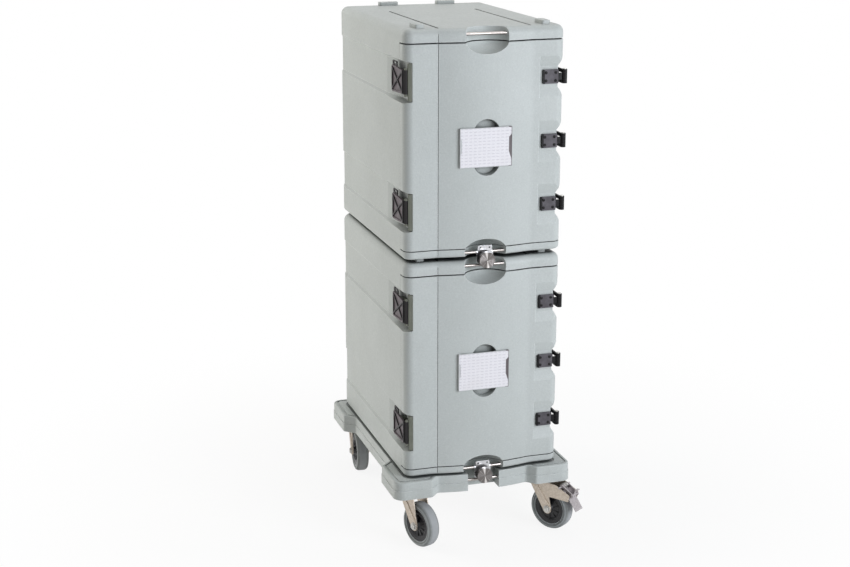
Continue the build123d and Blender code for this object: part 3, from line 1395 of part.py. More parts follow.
def build_nodes():
    """Every node, moved so that the origin is the middle of the footprint on the floor."""
    nodes = container_nodes() | clasp_nodes() | dolly_nodes()
    boxes = [shape.bounding_box() for shape in nodes.values()]
    low_x = min(box.min.X for box in boxes)
    high_x = max(box.max.X for box in boxes)
    low_y = min(box.min.Y for box in boxes)
    high_y = max(box.max.Y for box in boxes)
    centre = (-(low_x + high_x) / 2, -(low_y + high_y) / 2, 0)
    return {name: moved(shape, *centre) for name, shape in nodes.items()}


def save(nodes):
    """Write each node to its own file."""
    os.makedirs("parts", exist_ok=True)
    for name, shape in nodes.items():
        export_step(shape, f"parts/{name}.step")


if __name__ == "__main__":
    save(build_nodes())
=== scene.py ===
import bmesh
import bpy
from math import atan2, cos, hypot, pi, radians, sin
from mathutils import Matrix, Vector

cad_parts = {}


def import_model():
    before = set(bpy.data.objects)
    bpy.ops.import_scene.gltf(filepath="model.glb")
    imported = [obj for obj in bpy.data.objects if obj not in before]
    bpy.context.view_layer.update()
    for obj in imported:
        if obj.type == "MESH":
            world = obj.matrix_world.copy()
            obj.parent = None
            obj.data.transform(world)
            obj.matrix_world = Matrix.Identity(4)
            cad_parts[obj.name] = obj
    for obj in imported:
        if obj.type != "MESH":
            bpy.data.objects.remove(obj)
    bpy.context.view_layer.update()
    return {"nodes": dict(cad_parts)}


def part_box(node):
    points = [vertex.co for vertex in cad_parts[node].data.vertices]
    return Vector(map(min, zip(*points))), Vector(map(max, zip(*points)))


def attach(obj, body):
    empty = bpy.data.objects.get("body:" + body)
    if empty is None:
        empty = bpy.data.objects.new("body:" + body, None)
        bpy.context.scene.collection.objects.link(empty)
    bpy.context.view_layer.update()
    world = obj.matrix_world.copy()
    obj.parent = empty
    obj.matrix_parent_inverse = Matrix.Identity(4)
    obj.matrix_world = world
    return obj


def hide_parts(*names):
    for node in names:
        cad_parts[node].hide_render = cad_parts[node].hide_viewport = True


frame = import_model()

MM = 0.001

# The cart's own frame, as its solids are drawn: x from the middle of the width, y from the flat
# front of the doors, z from the floor. Down to the stage, all sizes are in millimetres.
WIDTH = 440
DEPTH = 650
SHIFT_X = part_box("casing_lower")[0].x / MM + WIDTH / 2
SHIFT_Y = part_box("casing_lower")[1].y / MM - DEPTH
BASES = {"lower": 200, "upper": 812}

# Hinges, latches and label, with heights from a container's base
HINGE_HEIGHTS = (127, 297, 467)
HINGE_FACE_Y = 3
HINGE_HALF = 18.5
HINGE_LEAF = (160, 203)
HINGE_BLACK_BAND = 5
HINGE_SIDE_X = 208
HINGE_SIDE_Y = 73
HINGE_SCREW_INSET = 8
LATCH_HEIGHTS = (128, 468)
BRACKET_FACE_X = -201
BRACKET_SCREW = (26.75, 39)
STRIKE_FACE_X = -212.1
STRIKE_SCREW = (72, 16)
LEVER_MIDDLE_Y = 64.75
LEVER_DISH = (43.25, 26)
LEVER_MARGIN = 7
# Where the painted shade along the label holder's right edge starts
LABEL_SHADE_X = 60
CARD_ROW = 8.4
CARD_DASH = 12.5

# Screw heads
SCREW_RADIUS = 4
SCREW_HEIGHT = 1.6
SCREW_CROWN = 0.55
SCREW_SEGMENTS = 32
SCREW_RINGS = 9
RECESS_HALF = 0.13 * SCREW_RADIUS
RECESS_REACH = 0.62 * SCREW_RADIUS
RECESS_DEPTH = 0.6 * SCREW_HEIGHT

# Grab rods
ROD_RADIUS = 4
ROD_HALF = 62.1
ROD_CHAMFER = 0.5
ROD_HEIGHTS = (10, 586)
DOLLY_ROD_HALF = 54
DOLLY_ROD_Z = 174

# Clasp knobs, with depths from the face of the disc
KNOB_HEIGHTS = {"lower": 192, "upper": 804}
KNOB_FRONT_Y = -28
KNOB_RADIUS = 22
KNOB_THICK = 12
KNOB_CHAMFER = 1
CENTRE_MARK = [(0, 0.7), (1.4, 0.7), (1.8, 0.15)]
FACING_RINGS = 9
FACING_START = 3
FACING_PITCH = 1.9
FACING_DEPTH = 0.12
COLLAR_RADIUS = 10
COLLAR_END = 21.6
SHAFT_RADIUS = 5
SHAFT_END = 36.4
KNURLS = 60
KNURL_RADIUS = 0.5
KNURL_INSET = 0.35
KNURL_SPAN = (2.4, 9.6)
CROSSBAR_PLACE = (0, -7.5, 32.4)
CROSSBAR_HALF = (6, 17.5)
CROSSBAR_ROUND = 3
CROSSBAR_THICK = 4

# Castors: x and y of the swivel axis, and the turn of the wheel in degrees
CASTORS = {
    "front_left": (-190, 32, 21),
    "front_right": (190, 32, 35),
    "rear_left": (-190, 618, -5),
    "rear_right": (190, 618, 12),
}
BRAKED = ("front_right", "rear_right")
AXLE_TRAIL = 38
AXLE_Z = 62.5

# Axle bolt, washers and nut, with distances from the middle of the wheel
LEG_FACE = 26.5
AXLE_RADIUS = 5
AXLE_HALF = 32.4
AXLE_CHAMFER = 0.6
WASHER_RADIUS = 11
WASHER_FACE = LEG_FACE + 1.5
WASHER_CHAMFER = 0.4
NUT_RADIUS = 8.9
NUT_FACE = 31.4
NUT_COLLAR = ((7.7, 31.4), (7.2, 32.0))

# Half sections of the tyre and the rim, as (radius, distance from the middle of the wheel)
TYRE_HALF = [(46, 16), (48.5, 16.2), (49.2, 17.2), (50.6, 17.6), (51.4, 17.0), (52.4, 17.0), (53.2, 17.9),
             (54.6, 18.0), (55.4, 17.5), (56.6, 17.2), (58.2, 16.2), (59.6, 14.8), (60.6, 13.0),
             (61.4, 10.8), (61.5, 10.2), (62.1, 9.8), (62.4, 6.0), (62.5, 0.0)]
RIM_HALF = [(5.05, 21.7), (9.4, 21.7), (10.4, 21.0), (12, 15.4), (15, 12.6), (28, 10.6), (30, 11.0),
            (32.5, 14.2), (34.5, 15.4), (45.2, 15.4), (45.95, 14.8)]
RIM_BEAD = ((36.4, 15.2), (36.9, 15.9), (38.1, 15.9), (38.6, 15.2))
RIM_RIBS = 10
RIM_RIB_RADIUS = 21.5
RIM_RIB_HALF = (10, 1.1)
RIM_RIB_ROUND = 0.8
RIM_RIB_SPAN = (9.5, 13.6)

# Rings painted on the tyre, as (radius, half width), and where the tread starts
PALE_RINGS = ((47.4, 1.6), (54.6, 1.6))
DARK_RINGS = ((49.8, 1.3), (59.2, 0.9))
TREAD_START = (61, 62)

# Swivel cover, as a section about the swivel axis
COVER_BORE = 29.05
COVER_SPAN = (144.2, 149.8)
COVER_BULGE = (30.6, 147.4)
COVER_BULGE_RADIUS = 2.4

# Brake pedal, as (distance behind the swivel axis, height)
SPRING_PLACE = (77, 135)
SPRING_RADIUS = 7.4
SPRING_HALF = 9
SPRING_WIRE = 0.7
SPRING_TURNS = 5
SPRING_STEPS = 12
GRIP_START = (104, 107)
GRIP_END = (128, 74)
GRIP_RIBS = 7
GRIP_FIRST = 0.2
GRIP_PITCH = 0.11
GRIP_HALF = (14, 0.9)
GRIP_ROUND = 0.6
GRIP_SPAN = (0.9, 2.0)

# Stage, in metres and degrees
FLOOR_HALF = 9
FLOOR_FADE = (0.35, 1.7)
WORLD_LEVEL = 0.16
CAMERA_PLACE = (-1.379, -4.128, 1.862)
CAMERA_YAW = 17.44
CAMERA_PITCH = 15.52
CAMERA_LENS = 66.83


def cart(x, y, z):
    """Point of the cart's own frame, in the scene."""
    return Vector((x + SHIFT_X, y + SHIFT_Y, z)) * MM


def at(x, y, z, toward="z"):
    """Matrix of a local millimetre frame whose Z axis points along one of the cart's directions."""
    turns = {
        "z": Matrix.Identity(4),
        "x": Matrix.Rotation(pi / 2, 4, "Y"),
        "-x": Matrix.Rotation(-pi / 2, 4, "Y"),
        "-y": Matrix.Rotation(pi / 2, 4, "X"),
        "y": Matrix.Rotation(-pi / 2, 4, "X"),
    }
    return Matrix.Translation(cart(x, y, z)) @ turns[toward] @ Matrix.Scale(MM, 4)


def castor_frame(name):
    """Local millimetre frame of a castor: its swivel axis up, its wheel trailing towards +Y."""
    x, y, angle = CASTORS[name]
    turn = Matrix.Rotation(radians(180 + angle), 4, "Z")
    return Matrix.Translation(cart(x, y, 0)) @ turn @ Matrix.Scale(MM, 4)


def axle_frame(name):
    """Local millimetre frame of a wheel, with Z along its axle."""
    middle = Matrix.Translation((0, AXLE_TRAIL, AXLE_Z))
    return castor_frame(name) @ middle @ Matrix.Rotation(pi / 2, 4, "Y")


def rigid(axes):
    """A local frame without its millimetre scale."""
    place, turn, _ = axes.decompose()
    return Matrix.Translation(place) @ turn.to_matrix().to_4x4()


# Materials

def colour(code):
    """Linear colour of a written one, such as B9BFBE."""
    parts = [int(code[i:i + 2], 16) / 255 for i in (0, 2, 4)]
    return [p / 12.92 if p <= 0.04045 else ((p + 0.055) / 1.055) ** 2.4 for p in parts] + [1]


class Look:
    """A material under construction. Its textures are set in metres of the object's own space."""

    def __init__(self, name, metallic=0.0, **fixed):
        self.material = bpy.data.materials.new(name)
        self.material.use_nodes = True
        self.tree = self.material.node_tree
        self.shader = self.tree.nodes["Principled BSDF"]
        self.shader.inputs["Metallic"].default_value = metallic
        for socket, value in fixed.items():
            self.shader.inputs[socket.replace("_", " ")].default_value = value
        self.place = self.add("ShaderNodeTexCoord").outputs["Object"]
        self.normal = None

    def add(self, kind, **settings):
        node = self.tree.nodes.new(kind)
        for key, value in settings.items():
            setattr(node, key, value)
        return node

    def feed(self, socket, value):
        """Gives a socket a texture's output, a written colour or a number."""
        if isinstance(value, bpy.types.NodeSocket):
            self.tree.links.new(value, socket)
        elif isinstance(value, str):
            socket.default_value = colour(value)
        else:
            socket.default_value = value

    def stretched(self, scale):
        node = self.add("ShaderNodeMapping")
        self.feed(node.inputs["Vector"], self.place)
        node.inputs["Scale"].default_value = scale
        return node.outputs["Vector"]

    def noise(self, scale, detail, rough=0.5, place=None):
        node = self.add("ShaderNodeTexNoise")
        self.feed(node.inputs["Vector"], self.place if place is None else place)
        node.inputs["Scale"].default_value = scale
        node.inputs["Detail"].default_value = detail
        node.inputs["Roughness"].default_value = rough
        return node.outputs["Fac"]

    def cells(self, scale):
        node = self.add("ShaderNodeTexVoronoi")
        self.feed(node.inputs["Vector"], self.place)
        node.inputs["Scale"].default_value = scale
        return node.outputs["Distance"]

    def math(self, operation, a, b=0.0):
        node = self.add("ShaderNodeMath", operation=operation)
        self.feed(node.inputs[0], a)
        self.feed(node.inputs[1], b)
        return node.outputs[0]

    def times(self, a, b):
        return self.math("MULTIPLY", a, b)

    def most(self, a, b):
        return self.math("MAXIMUM", a, b)

    def span(self, value, low, high, out_low=0.0, out_high=1.0):
        """Value taken from one range to another, and held at its ends."""
        node = self.add("ShaderNodeMapRange", interpolation_type="SMOOTHSTEP")
        self.feed(node.inputs["Value"], value)
        ends = {"From Min": low, "From Max": high, "To Min": out_low, "To Max": out_high}
        for socket, number in ends.items():
            node.inputs[socket].default_value = number
        return node.outputs["Result"]

    def patches(self, scale, detail, out_low=0.0, out_high=1.0, low=0.3, high=0.7):
        """Value that wanders between two others, in soft patches."""
        return self.span(self.noise(scale, detail), low, high, out_low, out_high)

    def axis(self, letter):
        node = self.add("ShaderNodeSeparateXYZ")
        self.feed(node.inputs[0], self.place)
        return node.outputs[letter]

    def radius(self):
        """Distance from the object's own Z axis."""
        x, y = self.axis("X"), self.axis("Y")
        return self.math("SQRT", self.math("ADD", self.times(x, x), self.times(y, y)))

    def off(self, value, middle):
        """How far a value is from a middle one."""
        return self.math("ABSOLUTE", self.math("SUBTRACT", value, middle))

    def band(self, value, middle, half):
        """Soft mask that is 1 near a middle value."""
        return self.span(self.off(value, middle), half, half * 0.6)

    def rings(self, away, sizes):
        """Soft mask of rings given as (radius, half width) in millimetres."""
        mask = 0.0
        for radius, half in sizes:
            mask = self.most(mask, self.band(away, radius * MM, half * MM))
        return mask

    def mix(self, share, a, b):
        node = self.add("ShaderNodeMix", data_type="RGBA")
        self.feed(node.inputs[0], share)
        self.feed(node.inputs[6], a)
        self.feed(node.inputs[7], b)
        return node.outputs[2]

    def round_edges(self, radius):
        """Softens the edges, and gives a mask of where they are."""
        bevel = self.add("ShaderNodeBevel", samples=4)
        bevel.inputs["Radius"].default_value = radius
        self.normal = bevel.outputs[0]
        true = self.add("ShaderNodeNewGeometry").outputs["Normal"]
        dot = self.add("ShaderNodeVectorMath", operation="DOT_PRODUCT")
        self.feed(dot.inputs[0], self.normal)
        self.feed(dot.inputs[1], true)
        return self.span(dot.outputs["Value"], 0.995, 0.9)

    def crevices(self, reach, open_share, shut_share):
        """Mask of gaps and hollows, from how much of the view within reach is open."""
        node = self.add("ShaderNodeAmbientOcclusion", samples=8)
        node.inputs["Distance"].default_value = reach
        return self.span(node.outputs["AO"], open_share, shut_share)

    def bump(self, height, depth):
        node = self.add("ShaderNodeBump")
        node.inputs["Distance"].default_value = depth
        self.feed(node.inputs["Height"], height)
        if self.normal:
            self.feed(node.inputs["Normal"], self.normal)
        self.normal = node.outputs[0]

    def done(self, base, roughness):
        self.feed(self.shader.inputs["Base Color"], base)
        self.feed(self.shader.inputs["Roughness"], roughness)
        if self.normal:
            self.feed(self.shader.inputs["Normal"], self.normal)
        return self.material


def moulded_plastic(name, tints, seam_shade=0.9):
    """Rotation-moulded polyethylene: a fine fleck, faint clouds, pale scuffed edges that also serve as
    painted edge highlights, painted shade in its seams and hollows, and a soft orange peel.
    """
    base, dark, light = tints
    look = Look(name, Specular_IOR_Level=0.4)
    mottle = look.noise(230, 3, rough=0.6)
    fleck = look.noise(900, 2, rough=0.7)
    scuffs_and_edge_highlight = look.times(look.round_edges(0.0018), look.patches(60, 3, 0.55, 1.0, high=0.65))
    low_down = look.span(look.axis("Z"), 0.30, 0.12)
    grime = look.times(low_down, look.patches(16, 4, low=0.5, high=0.75))
    shade = look.mix(look.patches(5, 3, 0.0, 0.3), base, dark)
    shade = look.mix(look.span(mottle, 0.5, 0.3, 0.0, 0.24), shade, dark)
    shade = look.mix(look.span(mottle, 0.5, 0.7, 0.0, 0.22), shade, light)
    shade = look.mix(look.span(fleck, 0.56, 0.74, 0.0, 0.45), shade, dark)
    shade = look.mix(look.patches(650, 1, 0.0, 0.45, low=0.6, high=0.75), shade, light)
    # Pale edges: partly scuffs, partly a painted highlight along every edge.
    shade = look.mix(scuffs_and_edge_highlight, shade, "E6EAE8")
    shade = look.mix(look.times(grime, 0.2), shade, "8E8E86")
    # Painted shade: the colour darkens in hollows, and to near black in seams and gaps, by how shut in each
    # point is.
    shade = look.mix(look.times(look.crevices(0.09, 0.5, 0.2), 0.7), shade, "4A504C")
    shade = look.mix(look.times(look.crevices(0.02, 0.72, 0.2), seam_shade), shade, "1E2020")
    look.bump(look.noise(240, 3), 0.00035)
    look.bump(look.noise(14, 2), 0.0008)
    return look.done(shade, look.patches(120, 3, 0.4, 0.55))


def hard_plastic(name, base, light, rough, shine=0.45):
    """Injection-moulded plastic with a spark-eroded grain."""
    look = Look(name, Specular_IOR_Level=shine)
    edges = look.round_edges(0.0006)
    shade = look.mix(look.patches(45, 4, 0.0, 0.5, low=0.35), base, light)
    # Painted highlight: the edges are lightened towards the light tint.
    shade = look.mix(look.times(edges, 0.55), shade, light)
    look.bump(look.noise(700, 2), 0.00012)
    return look.done(shade, look.patches(90, 3, rough - 0.06, rough + 0.1))


def hinge_plastic():
    """Hinge leaves: charcoal plates with a black band at one end, that turn black round the barrel."""
    look = Look("hinge_leaf", Specular_IOR_Level=0.2)
    edges = look.round_edges(0.0006)
    across = look.axis("X")
    left, right = ((x + SHIFT_X) * MM for x in HINGE_LEAF)
    band_end = left + HINGE_BLACK_BAND * MM
    soft = 0.5 * MM
    barrel = look.span(across, right - 2 * soft, right + soft)
    # A black band along the leaf's left end, and black round the barrel.
    black = look.most(barrel, look.span(across, band_end + soft, band_end - soft))
    plate = look.mix(look.patches(70, 4, low=0.35), "4E4B4F", "5C595E")
    shade = look.mix(black, plate, "0C0B0D")
    # Painted highlight: the edges are lightened.
    shade = look.mix(look.times(edges, 0.35), shade, "75737A")
    look.bump(look.noise(800, 2), 0.0001)
    return look.done(shade, look.patches(90, 3, 0.38, 0.52))


def holder_plastic():
    """Label holder: pale, with painted shade along its right edge, where the side wall of its recess falls in
    shadow.
    """
    look = Look("label_holder", Specular_IOR_Level=0.4)
    edges = look.round_edges(0.0004)
    start = (LABEL_SHADE_X + SHIFT_X) * MM
    # Painted shade: a dark strip along the right edge, where the recess's side wall is in shadow.
    right_edge_shade = look.span(look.axis("X"), start - MM, start)
    shade = look.mix(look.patches(60, 4, low=0.35), "BDBFC0", "C9CBCB")
    shade = look.mix(right_edge_shade, shade, "625A5C")
    # Painted highlight: the edges are lightened.
    shade = look.mix(look.times(edges, 0.3), shade, "D8D8D8")
    look.bump(look.noise(700, 2), 0.0001)
    return look.done(shade, look.patches(90, 3, 0.38, 0.5))


def lever_plastic():
    """Latch levers: a warm grey face, with a dark cross in its dish and a dark border."""
    look = Look("latch_lever", Specular_IOR_Level=0.35)
    edges = look.round_edges(0.0006)
    up = look.axis("Z")
    heights = [(base + z) * MM for base in BASES.values() for z in LATCH_HEIGHTS]
    rise = look.off(up, heights[0])
    for height in heights[1:]:
        rise = look.math("MINIMUM", rise, look.off(up, height))
    along = look.off(look.axis("Y"), (LEVER_MIDDLE_Y + SHIFT_Y) * MM)
    half_y, half_z = (size * MM for size in LEVER_DISH)
    border = half_z + LEVER_MARGIN * MM
    soft = 2 * MM
    inside = look.times(look.span(rise, half_z, half_z - soft), look.span(along, half_y, half_y - soft))
    lean = look.off(rise, look.times(along, half_z / half_y))
    cross = look.times(look.span(lean, 0.0042, 0.0026), inside)
    ends = look.span(along, half_y - soft / 2, half_y + soft / 2)
    rim = look.most(ends, look.span(rise, border, border + soft))
    face = look.mix(look.patches(60, 4, low=0.35), "544C50", "62595D")
    shade = look.mix(look.most(cross, rim), face, "151213")
    shade = look.mix(look.times(edges, 0.3), shade, "4E484A")
    look.bump(look.noise(700, 2), 0.00012)
    return look.done(shade, look.patches(90, 3, 0.36, 0.5))


def brushed_steel(name, tint, rough, stretch):
    """Stainless steel with fine drawn lines, faint smudges and painted highlights along its edges."""
    look = Look(name, metallic=1.0, Anisotropic=0.35)
    edges = look.round_edges(0.0005)
    lines = look.noise(180, 4, rough=0.75, place=look.stretched(stretch))
    smudge = look.noise(22, 3)
    shade = look.mix(look.span(lines, 0.3, 0.7, 0.0, 0.4), tint, "E8E5E2")
    # Painted highlight: the edges are lightened towards white.
    shade = look.mix(look.times(edges, 0.3), shade, "FFFFFF")
    shade = look.mix(look.span(smudge, 0.55, 0.8, 0.0, 0.2), shade, "8C8880")
    look.bump(lines, 0.00003)
    return look.done(shade, look.span(smudge, 0.3, 0.7, rough - 0.05, rough + 0.08))


def turned_steel():
    """Turned steel, with fine rings from the tool about the object's own Z axis, the sheen crossed to them,
    and wedges of painted sheen across its face.
    """
    look = Look("turned_steel", metallic=1.0, Anisotropic=0.85)
    away = look.radius()
    outward = look.add("ShaderNodeCombineXYZ")
    look.feed(outward.inputs[0], away)
    rings = look.noise(2600, 4, place=outward.outputs[0])
    smudge = look.noise(60, 3)
    shade = look.mix(look.span(rings, 0.35, 0.65), "5F5B5A", "827E7C")
    # Painted sheen: bright and grey wedges across the face, about the object's own Z axis.
    painted_sheen_wedges = ((0.12, 0.3, "F2EEEC"), (0.95, 0.1, "A9A5A3"), (-0.8, 0.08, "A9A5A3"))
    for lean, half, tint in painted_sheen_wedges:
        across = look.math("SUBTRACT", look.axis("X"), look.times(look.axis("Y"), lean))
        sheen_wedge = look.span(look.math("DIVIDE", look.math("ABSOLUTE", across), away), half, half * 0.15)
        shade = look.mix(look.times(sheen_wedge, 0.8), shade, tint)
    shade = look.mix(look.span(smudge, 0.5, 0.8, 0.0, 0.25), shade, "6F6A69")
    look.bump(rings, 0.00002)
    tangent = look.add("ShaderNodeTangent", direction_type="RADIAL", axis="Z")
    look.feed(look.shader.inputs["Tangent"], tangent.outputs[0])
    return look.done(shade, look.span(smudge, 0.3, 0.7, 0.26, 0.36))


def zinc_plate(name, tint, dark):
    """Zinc-plated steel, with its cloudy spangle."""
    look = Look(name, metallic=0.9)
    edges = look.round_edges(0.0005)
    shade = look.mix(look.span(look.cells(160), 0.2, 0.7, 0.0, 0.5), tint, dark)
    # Painted highlight: the edges are lightened.
    shade = look.mix(look.times(edges, 0.35), shade, "F2F0EC")
    look.bump(look.noise(500, 2), 0.00005)
    return look.done(shade, look.patches(60, 3, 0.34, 0.5))


def rubber(name, base, light, tyre=False):
    """Matt rubber with dust in its texture; a tyre has pale and dark rings about its own Z axis."""
    look = Look(name, Specular_IOR_Level=0.25)
    shade = look.mix(look.patches(70, 4, 0.0, 0.55, low=0.35), base, light)
    if tyre:
        away = look.radius()
        tread = look.span(away, TREAD_START[0] * MM, TREAD_START[1] * MM, 0.0, 0.6)
        shade = look.mix(look.times(look.rings(away, PALE_RINGS), 0.75), shade, "B4BABD")
        shade = look.mix(look.times(look.rings(away, DARK_RINGS), 0.6), shade, "6B6E6D")
        shade = look.mix(tread, shade, "A9ABAE")
    shade = look.mix(look.patches(1200, 1, 0.0, 0.3, low=0.62, high=0.8), shade, "4B4B49")
    look.bump(look.noise(600, 3), 0.00012)
    return look.done(shade, look.patches(100, 2, 0.55, 0.75))


def printed_card():
    """White card with faint broken rows for handwriting, slightly handled."""
    look = Look("label_card", Specular_IOR_Level=0.3)
    paper = look.mix(look.patches(300, 4), "E9E7EA", "DEDCE0")
    row = look.math("FRACT", look.times(look.axis("Z"), 1 / (CARD_ROW * MM)))
    line = look.times(look.span(row, 0.34, 0.42), look.span(row, 0.66, 0.58))
    positive_x = look.math("ADD", look.axis("X"), 1.0)
    column = look.math("FRACT", look.times(positive_x, 1 / (CARD_DASH * MM)))
    dash = look.times(look.span(column, 0.12, 0.2), look.span(column, 0.86, 0.78))
    shade = look.mix(look.times(look.times(line, dash), 0.55), paper, "BDB9C1")
    shade = look.mix(look.patches(9, 2, 0.0, 0.3, low=0.55, high=0.8), shade, "D6D3D2")
    look.bump(look.noise(900, 2), 0.00004)
    return look.done(shade, look.patches(60, 2, 0.5, 0.65))


def cellular_foam():
    """Insulating foam inside the walls."""
    look = Look("foam", Specular_IOR_Level=0.2)
    cells = look.cells(700)
    shade = look.mix(look.span(cells, 0.1, 0.6), "C9B98A", "E3D7AE")
    look.bump(cells, 0.0004)
    return look.done(shade, look.patches(80, 2, 0.75, 0.9))


GREY = ("B9BEBC", "A7ACA9", "CED2CF")
PALE_GREY = ("C3C8C7", "B3B8B6", "D3D7D5")

BODY = moulded_plastic("body_plastic", GREY)
DECK = moulded_plastic("deck_plastic", GREY, seam_shade=0.35)
LINER = moulded_plastic("liner_plastic", PALE_GREY)
FOAM = cellular_foam()
SEAL = rubber("seal_rubber", "1E1E1F", "2B2B2C")
HOLDER = holder_plastic()
CARD = printed_card()
HINGE = hinge_plastic()
LATCH = lever_plastic()
BRACKET = hard_plastic("latch_bracket", "6A6D62", "7E8076", rough=0.45)
STEEL = brushed_steel("drawn_steel", "8D8682", 0.2, stretch=(0.03, 1, 1))
STRAP = brushed_steel("strap_steel", "C9CBD0", 0.22, stretch=(1, 1, 0.04))
KNOB = turned_steel()
DARK_SCREW = hard_plastic("dark_screw", "0B0A0B", "242325", rough=0.32, shine=0.25)
ZINC = zinc_plate("zinc", "C9C8C4", "A3A19C")
FORK = zinc_plate("fork_steel", "CABFB2", "AFA394")
PEDAL = zinc_plate("pedal_steel", "B5B0B2", "9A9597")
RIM = hard_plastic("rim_plastic", "111114", "222227", rough=0.32)
TYRE = rubber("tyre_rubber", "8C8F8E", "9FA3A3", tyre=True)

# Materials of the CAD nodes, by the start of their names
NODE_LOOKS = {
    "casing": BODY,
    "casing_screws": DARK_SCREW,
    "liner": LINER,
    "foam_cores": FOAM,
    "door_skin": BODY,
    "door_liner": LINER,
    "door_foam": FOAM,
    "door_gasket": SEAL,
    "door_screws": DARK_SCREW,
    "label_holder": HOLDER,
    "label_card": CARD,
    "hinge": HINGE,
    "hinge_pins": ZINC,
    "latch_lever": LATCH,
    "latch_brackets": BRACKET,
    "latch_strikes": BRACKET,
    "latch_pins": ZINC,
    "grab_rods": STEEL,
    "clasp_straps": STRAP,
    "clasp_knob": KNOB,
    "dolly_deck": DECK,
    "castor_plates": ZINC,
    "castor_bolts": ZINC,
    "castor_fork": FORK,
    "castor_axle": ZINC,
    "wheel_rim": RIM,
    "wheel_tyre": TYRE,
    "brake_pedal": PEDAL,
}


def node_look(node):
    """Material of a CAD node, by the longest start of its name."""
    return NODE_LOOKS[max((start for start in NODE_LOOKS if node.startswith(start)), key=len)]


for node, item in frame["nodes"].items():
    item.data.materials.clear()
    item.data.materials.append(node_look(node))


# Pieces

class Shape:
    """Faces gathered in local millimetre frames before they become one piece."""

    def __init__(self):
        self.mesh = bmesh.new()

    def point(self, axes, x, y, z):
        return self.mesh.verts.new(axes @ Vector((x, y, z)))

    def ring(self, axes, radius, height, segments):
        """Circle of vertices about local Z, or one vertex on the axis."""
        if radius < 0.001:
            return [self.point(axes, 0, 0, height)]
        return [self.point(axes, x, y, height) for x, y in polygon(segments, radius)]

    def bridge(self, a, b):
        """Faces between two circles of vertices."""
        count = max(len(a), len(b))
        for i in range(count):
            j = (i + 1) % count
            if len(a) == 1:
                self.mesh.faces.new((a[0], b[j], b[i]))
            elif len(b) == 1:
                self.mesh.faces.new((a[i], a[j], b[0]))
            else:
                self.mesh.faces.new((a[i], a[j], b[j], b[i]))

    def turned(self, axes, profile, segments, closed=False):
        """Body of revolution about local Z through (radius, height) points."""
        rings = [self.ring(axes, radius, height, segments) for radius, height in profile]
        for a, b in zip(rings, rings[1:] + rings[:1] if closed else rings[1:]):
            self.bridge(a, b)

    def prism(self, axes, outline, low, high):
        """Flat outline of (x, y) points raised along local Z."""
        bottom = [self.point(axes, x, y, low) for x, y in outline]
        top = [self.point(axes, x, y, high) for x, y in outline]
        self.bridge(bottom, top)
        self.mesh.faces.new(list(reversed(bottom)))
        self.mesh.faces.new(top)

    def tube(self, points, radius, segments):
        """Round bar through points that are in the scene already."""
        rings = []
        side = None
        for i, point in enumerate(points):
            ahead = (points[min(i + 1, len(points) - 1)] - points[max(i - 1, 0)]).normalized()
            side = side or ahead.orthogonal().normalized()
            side = (side - ahead * side.dot(ahead)).normalized()
            across = ahead.cross(side)
            circle = polygon(segments, radius)
            rings.append([self.mesh.verts.new(point + side * x + across * y) for x, y in circle])
        for a, b in zip(rings, rings[1:]):
            self.bridge(a, b)
        self.mesh.faces.new(list(reversed(rings[0])))
        self.mesh.faces.new(rings[-1])

    def piece(self, name, body, material, replaced=(), bevel=0.0, axes=None):
        """Makes the gathered faces one piece that rides on a body, with its own axes along a local frame."""
        own = rigid(axes) if axes else Matrix.Identity(4)
        bmesh.ops.transform(self.mesh, matrix=own.inverted(), verts=self.mesh.verts)
        bmesh.ops.recalc_face_normals(self.mesh, faces=self.mesh.faces)
        data = bpy.data.meshes.new(name)
        self.mesh.to_mesh(data)
        self.mesh.free()
        data.shade_smooth()
        data.set_sharp_from_angle(angle=radians(35))
        data.materials.append(material)
        item = bpy.data.objects.new(name, data)
        item.matrix_world = own
        bpy.context.scene.collection.objects.link(item)
        if bevel:
            edge = item.modifiers.new("edges", "BEVEL")
            edge.width = bevel * MM
            edge.segments = 2
            edge.limit_method = "ANGLE"
            edge.angle_limit = radians(40)
            edge.harden_normals = True
        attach(item, body)
        if replaced:
            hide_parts(*replaced)


def polygon(count, radius):
    """Points of a regular polygon."""
    angles = [2 * pi * i / count for i in range(count)]
    return [(radius * cos(angle), radius * sin(angle)) for angle in angles]


def rounded(half_x, half_y, radius, steps=5):
    """Outline of a rounded rectangle about the origin."""
    points = []
    for quarter, (sx, sy) in enumerate(((1, 1), (-1, 1), (-1, -1), (1, -1))):
        for i in range(steps + 1):
            angle = pi / 2 * (quarter + i / steps)
            points.append((sx * (half_x - radius) + radius * cos(angle),
                           sy * (half_y - radius) + radius * sin(angle)))
    return points


def arc(centre, radius, start, end, steps):
    """Points of an arc in (radius, height), by degrees."""
    angles = [radians(start + (end - start) * i / steps) for i in range(steps + 1)]
    return [(centre[0] + radius * cos(angle), centre[1] + radius * sin(angle)) for angle in angles]


def bar(radius, half, chamfer):
    """Half section of a round bar with chamfered ends, about the middle of its length."""
    return [(0, -half), (radius - chamfer, -half), (radius, -half + chamfer),
            (radius, half - chamfer), (radius - chamfer, half), (0, half)]


def both_sides(half_section):
    """Closed section of a wheel from its half. A point on the middle plane isn't doubled."""
    mirrored = [(radius, -x) for radius, x in reversed(half_section) if x]
    return half_section + mirrored


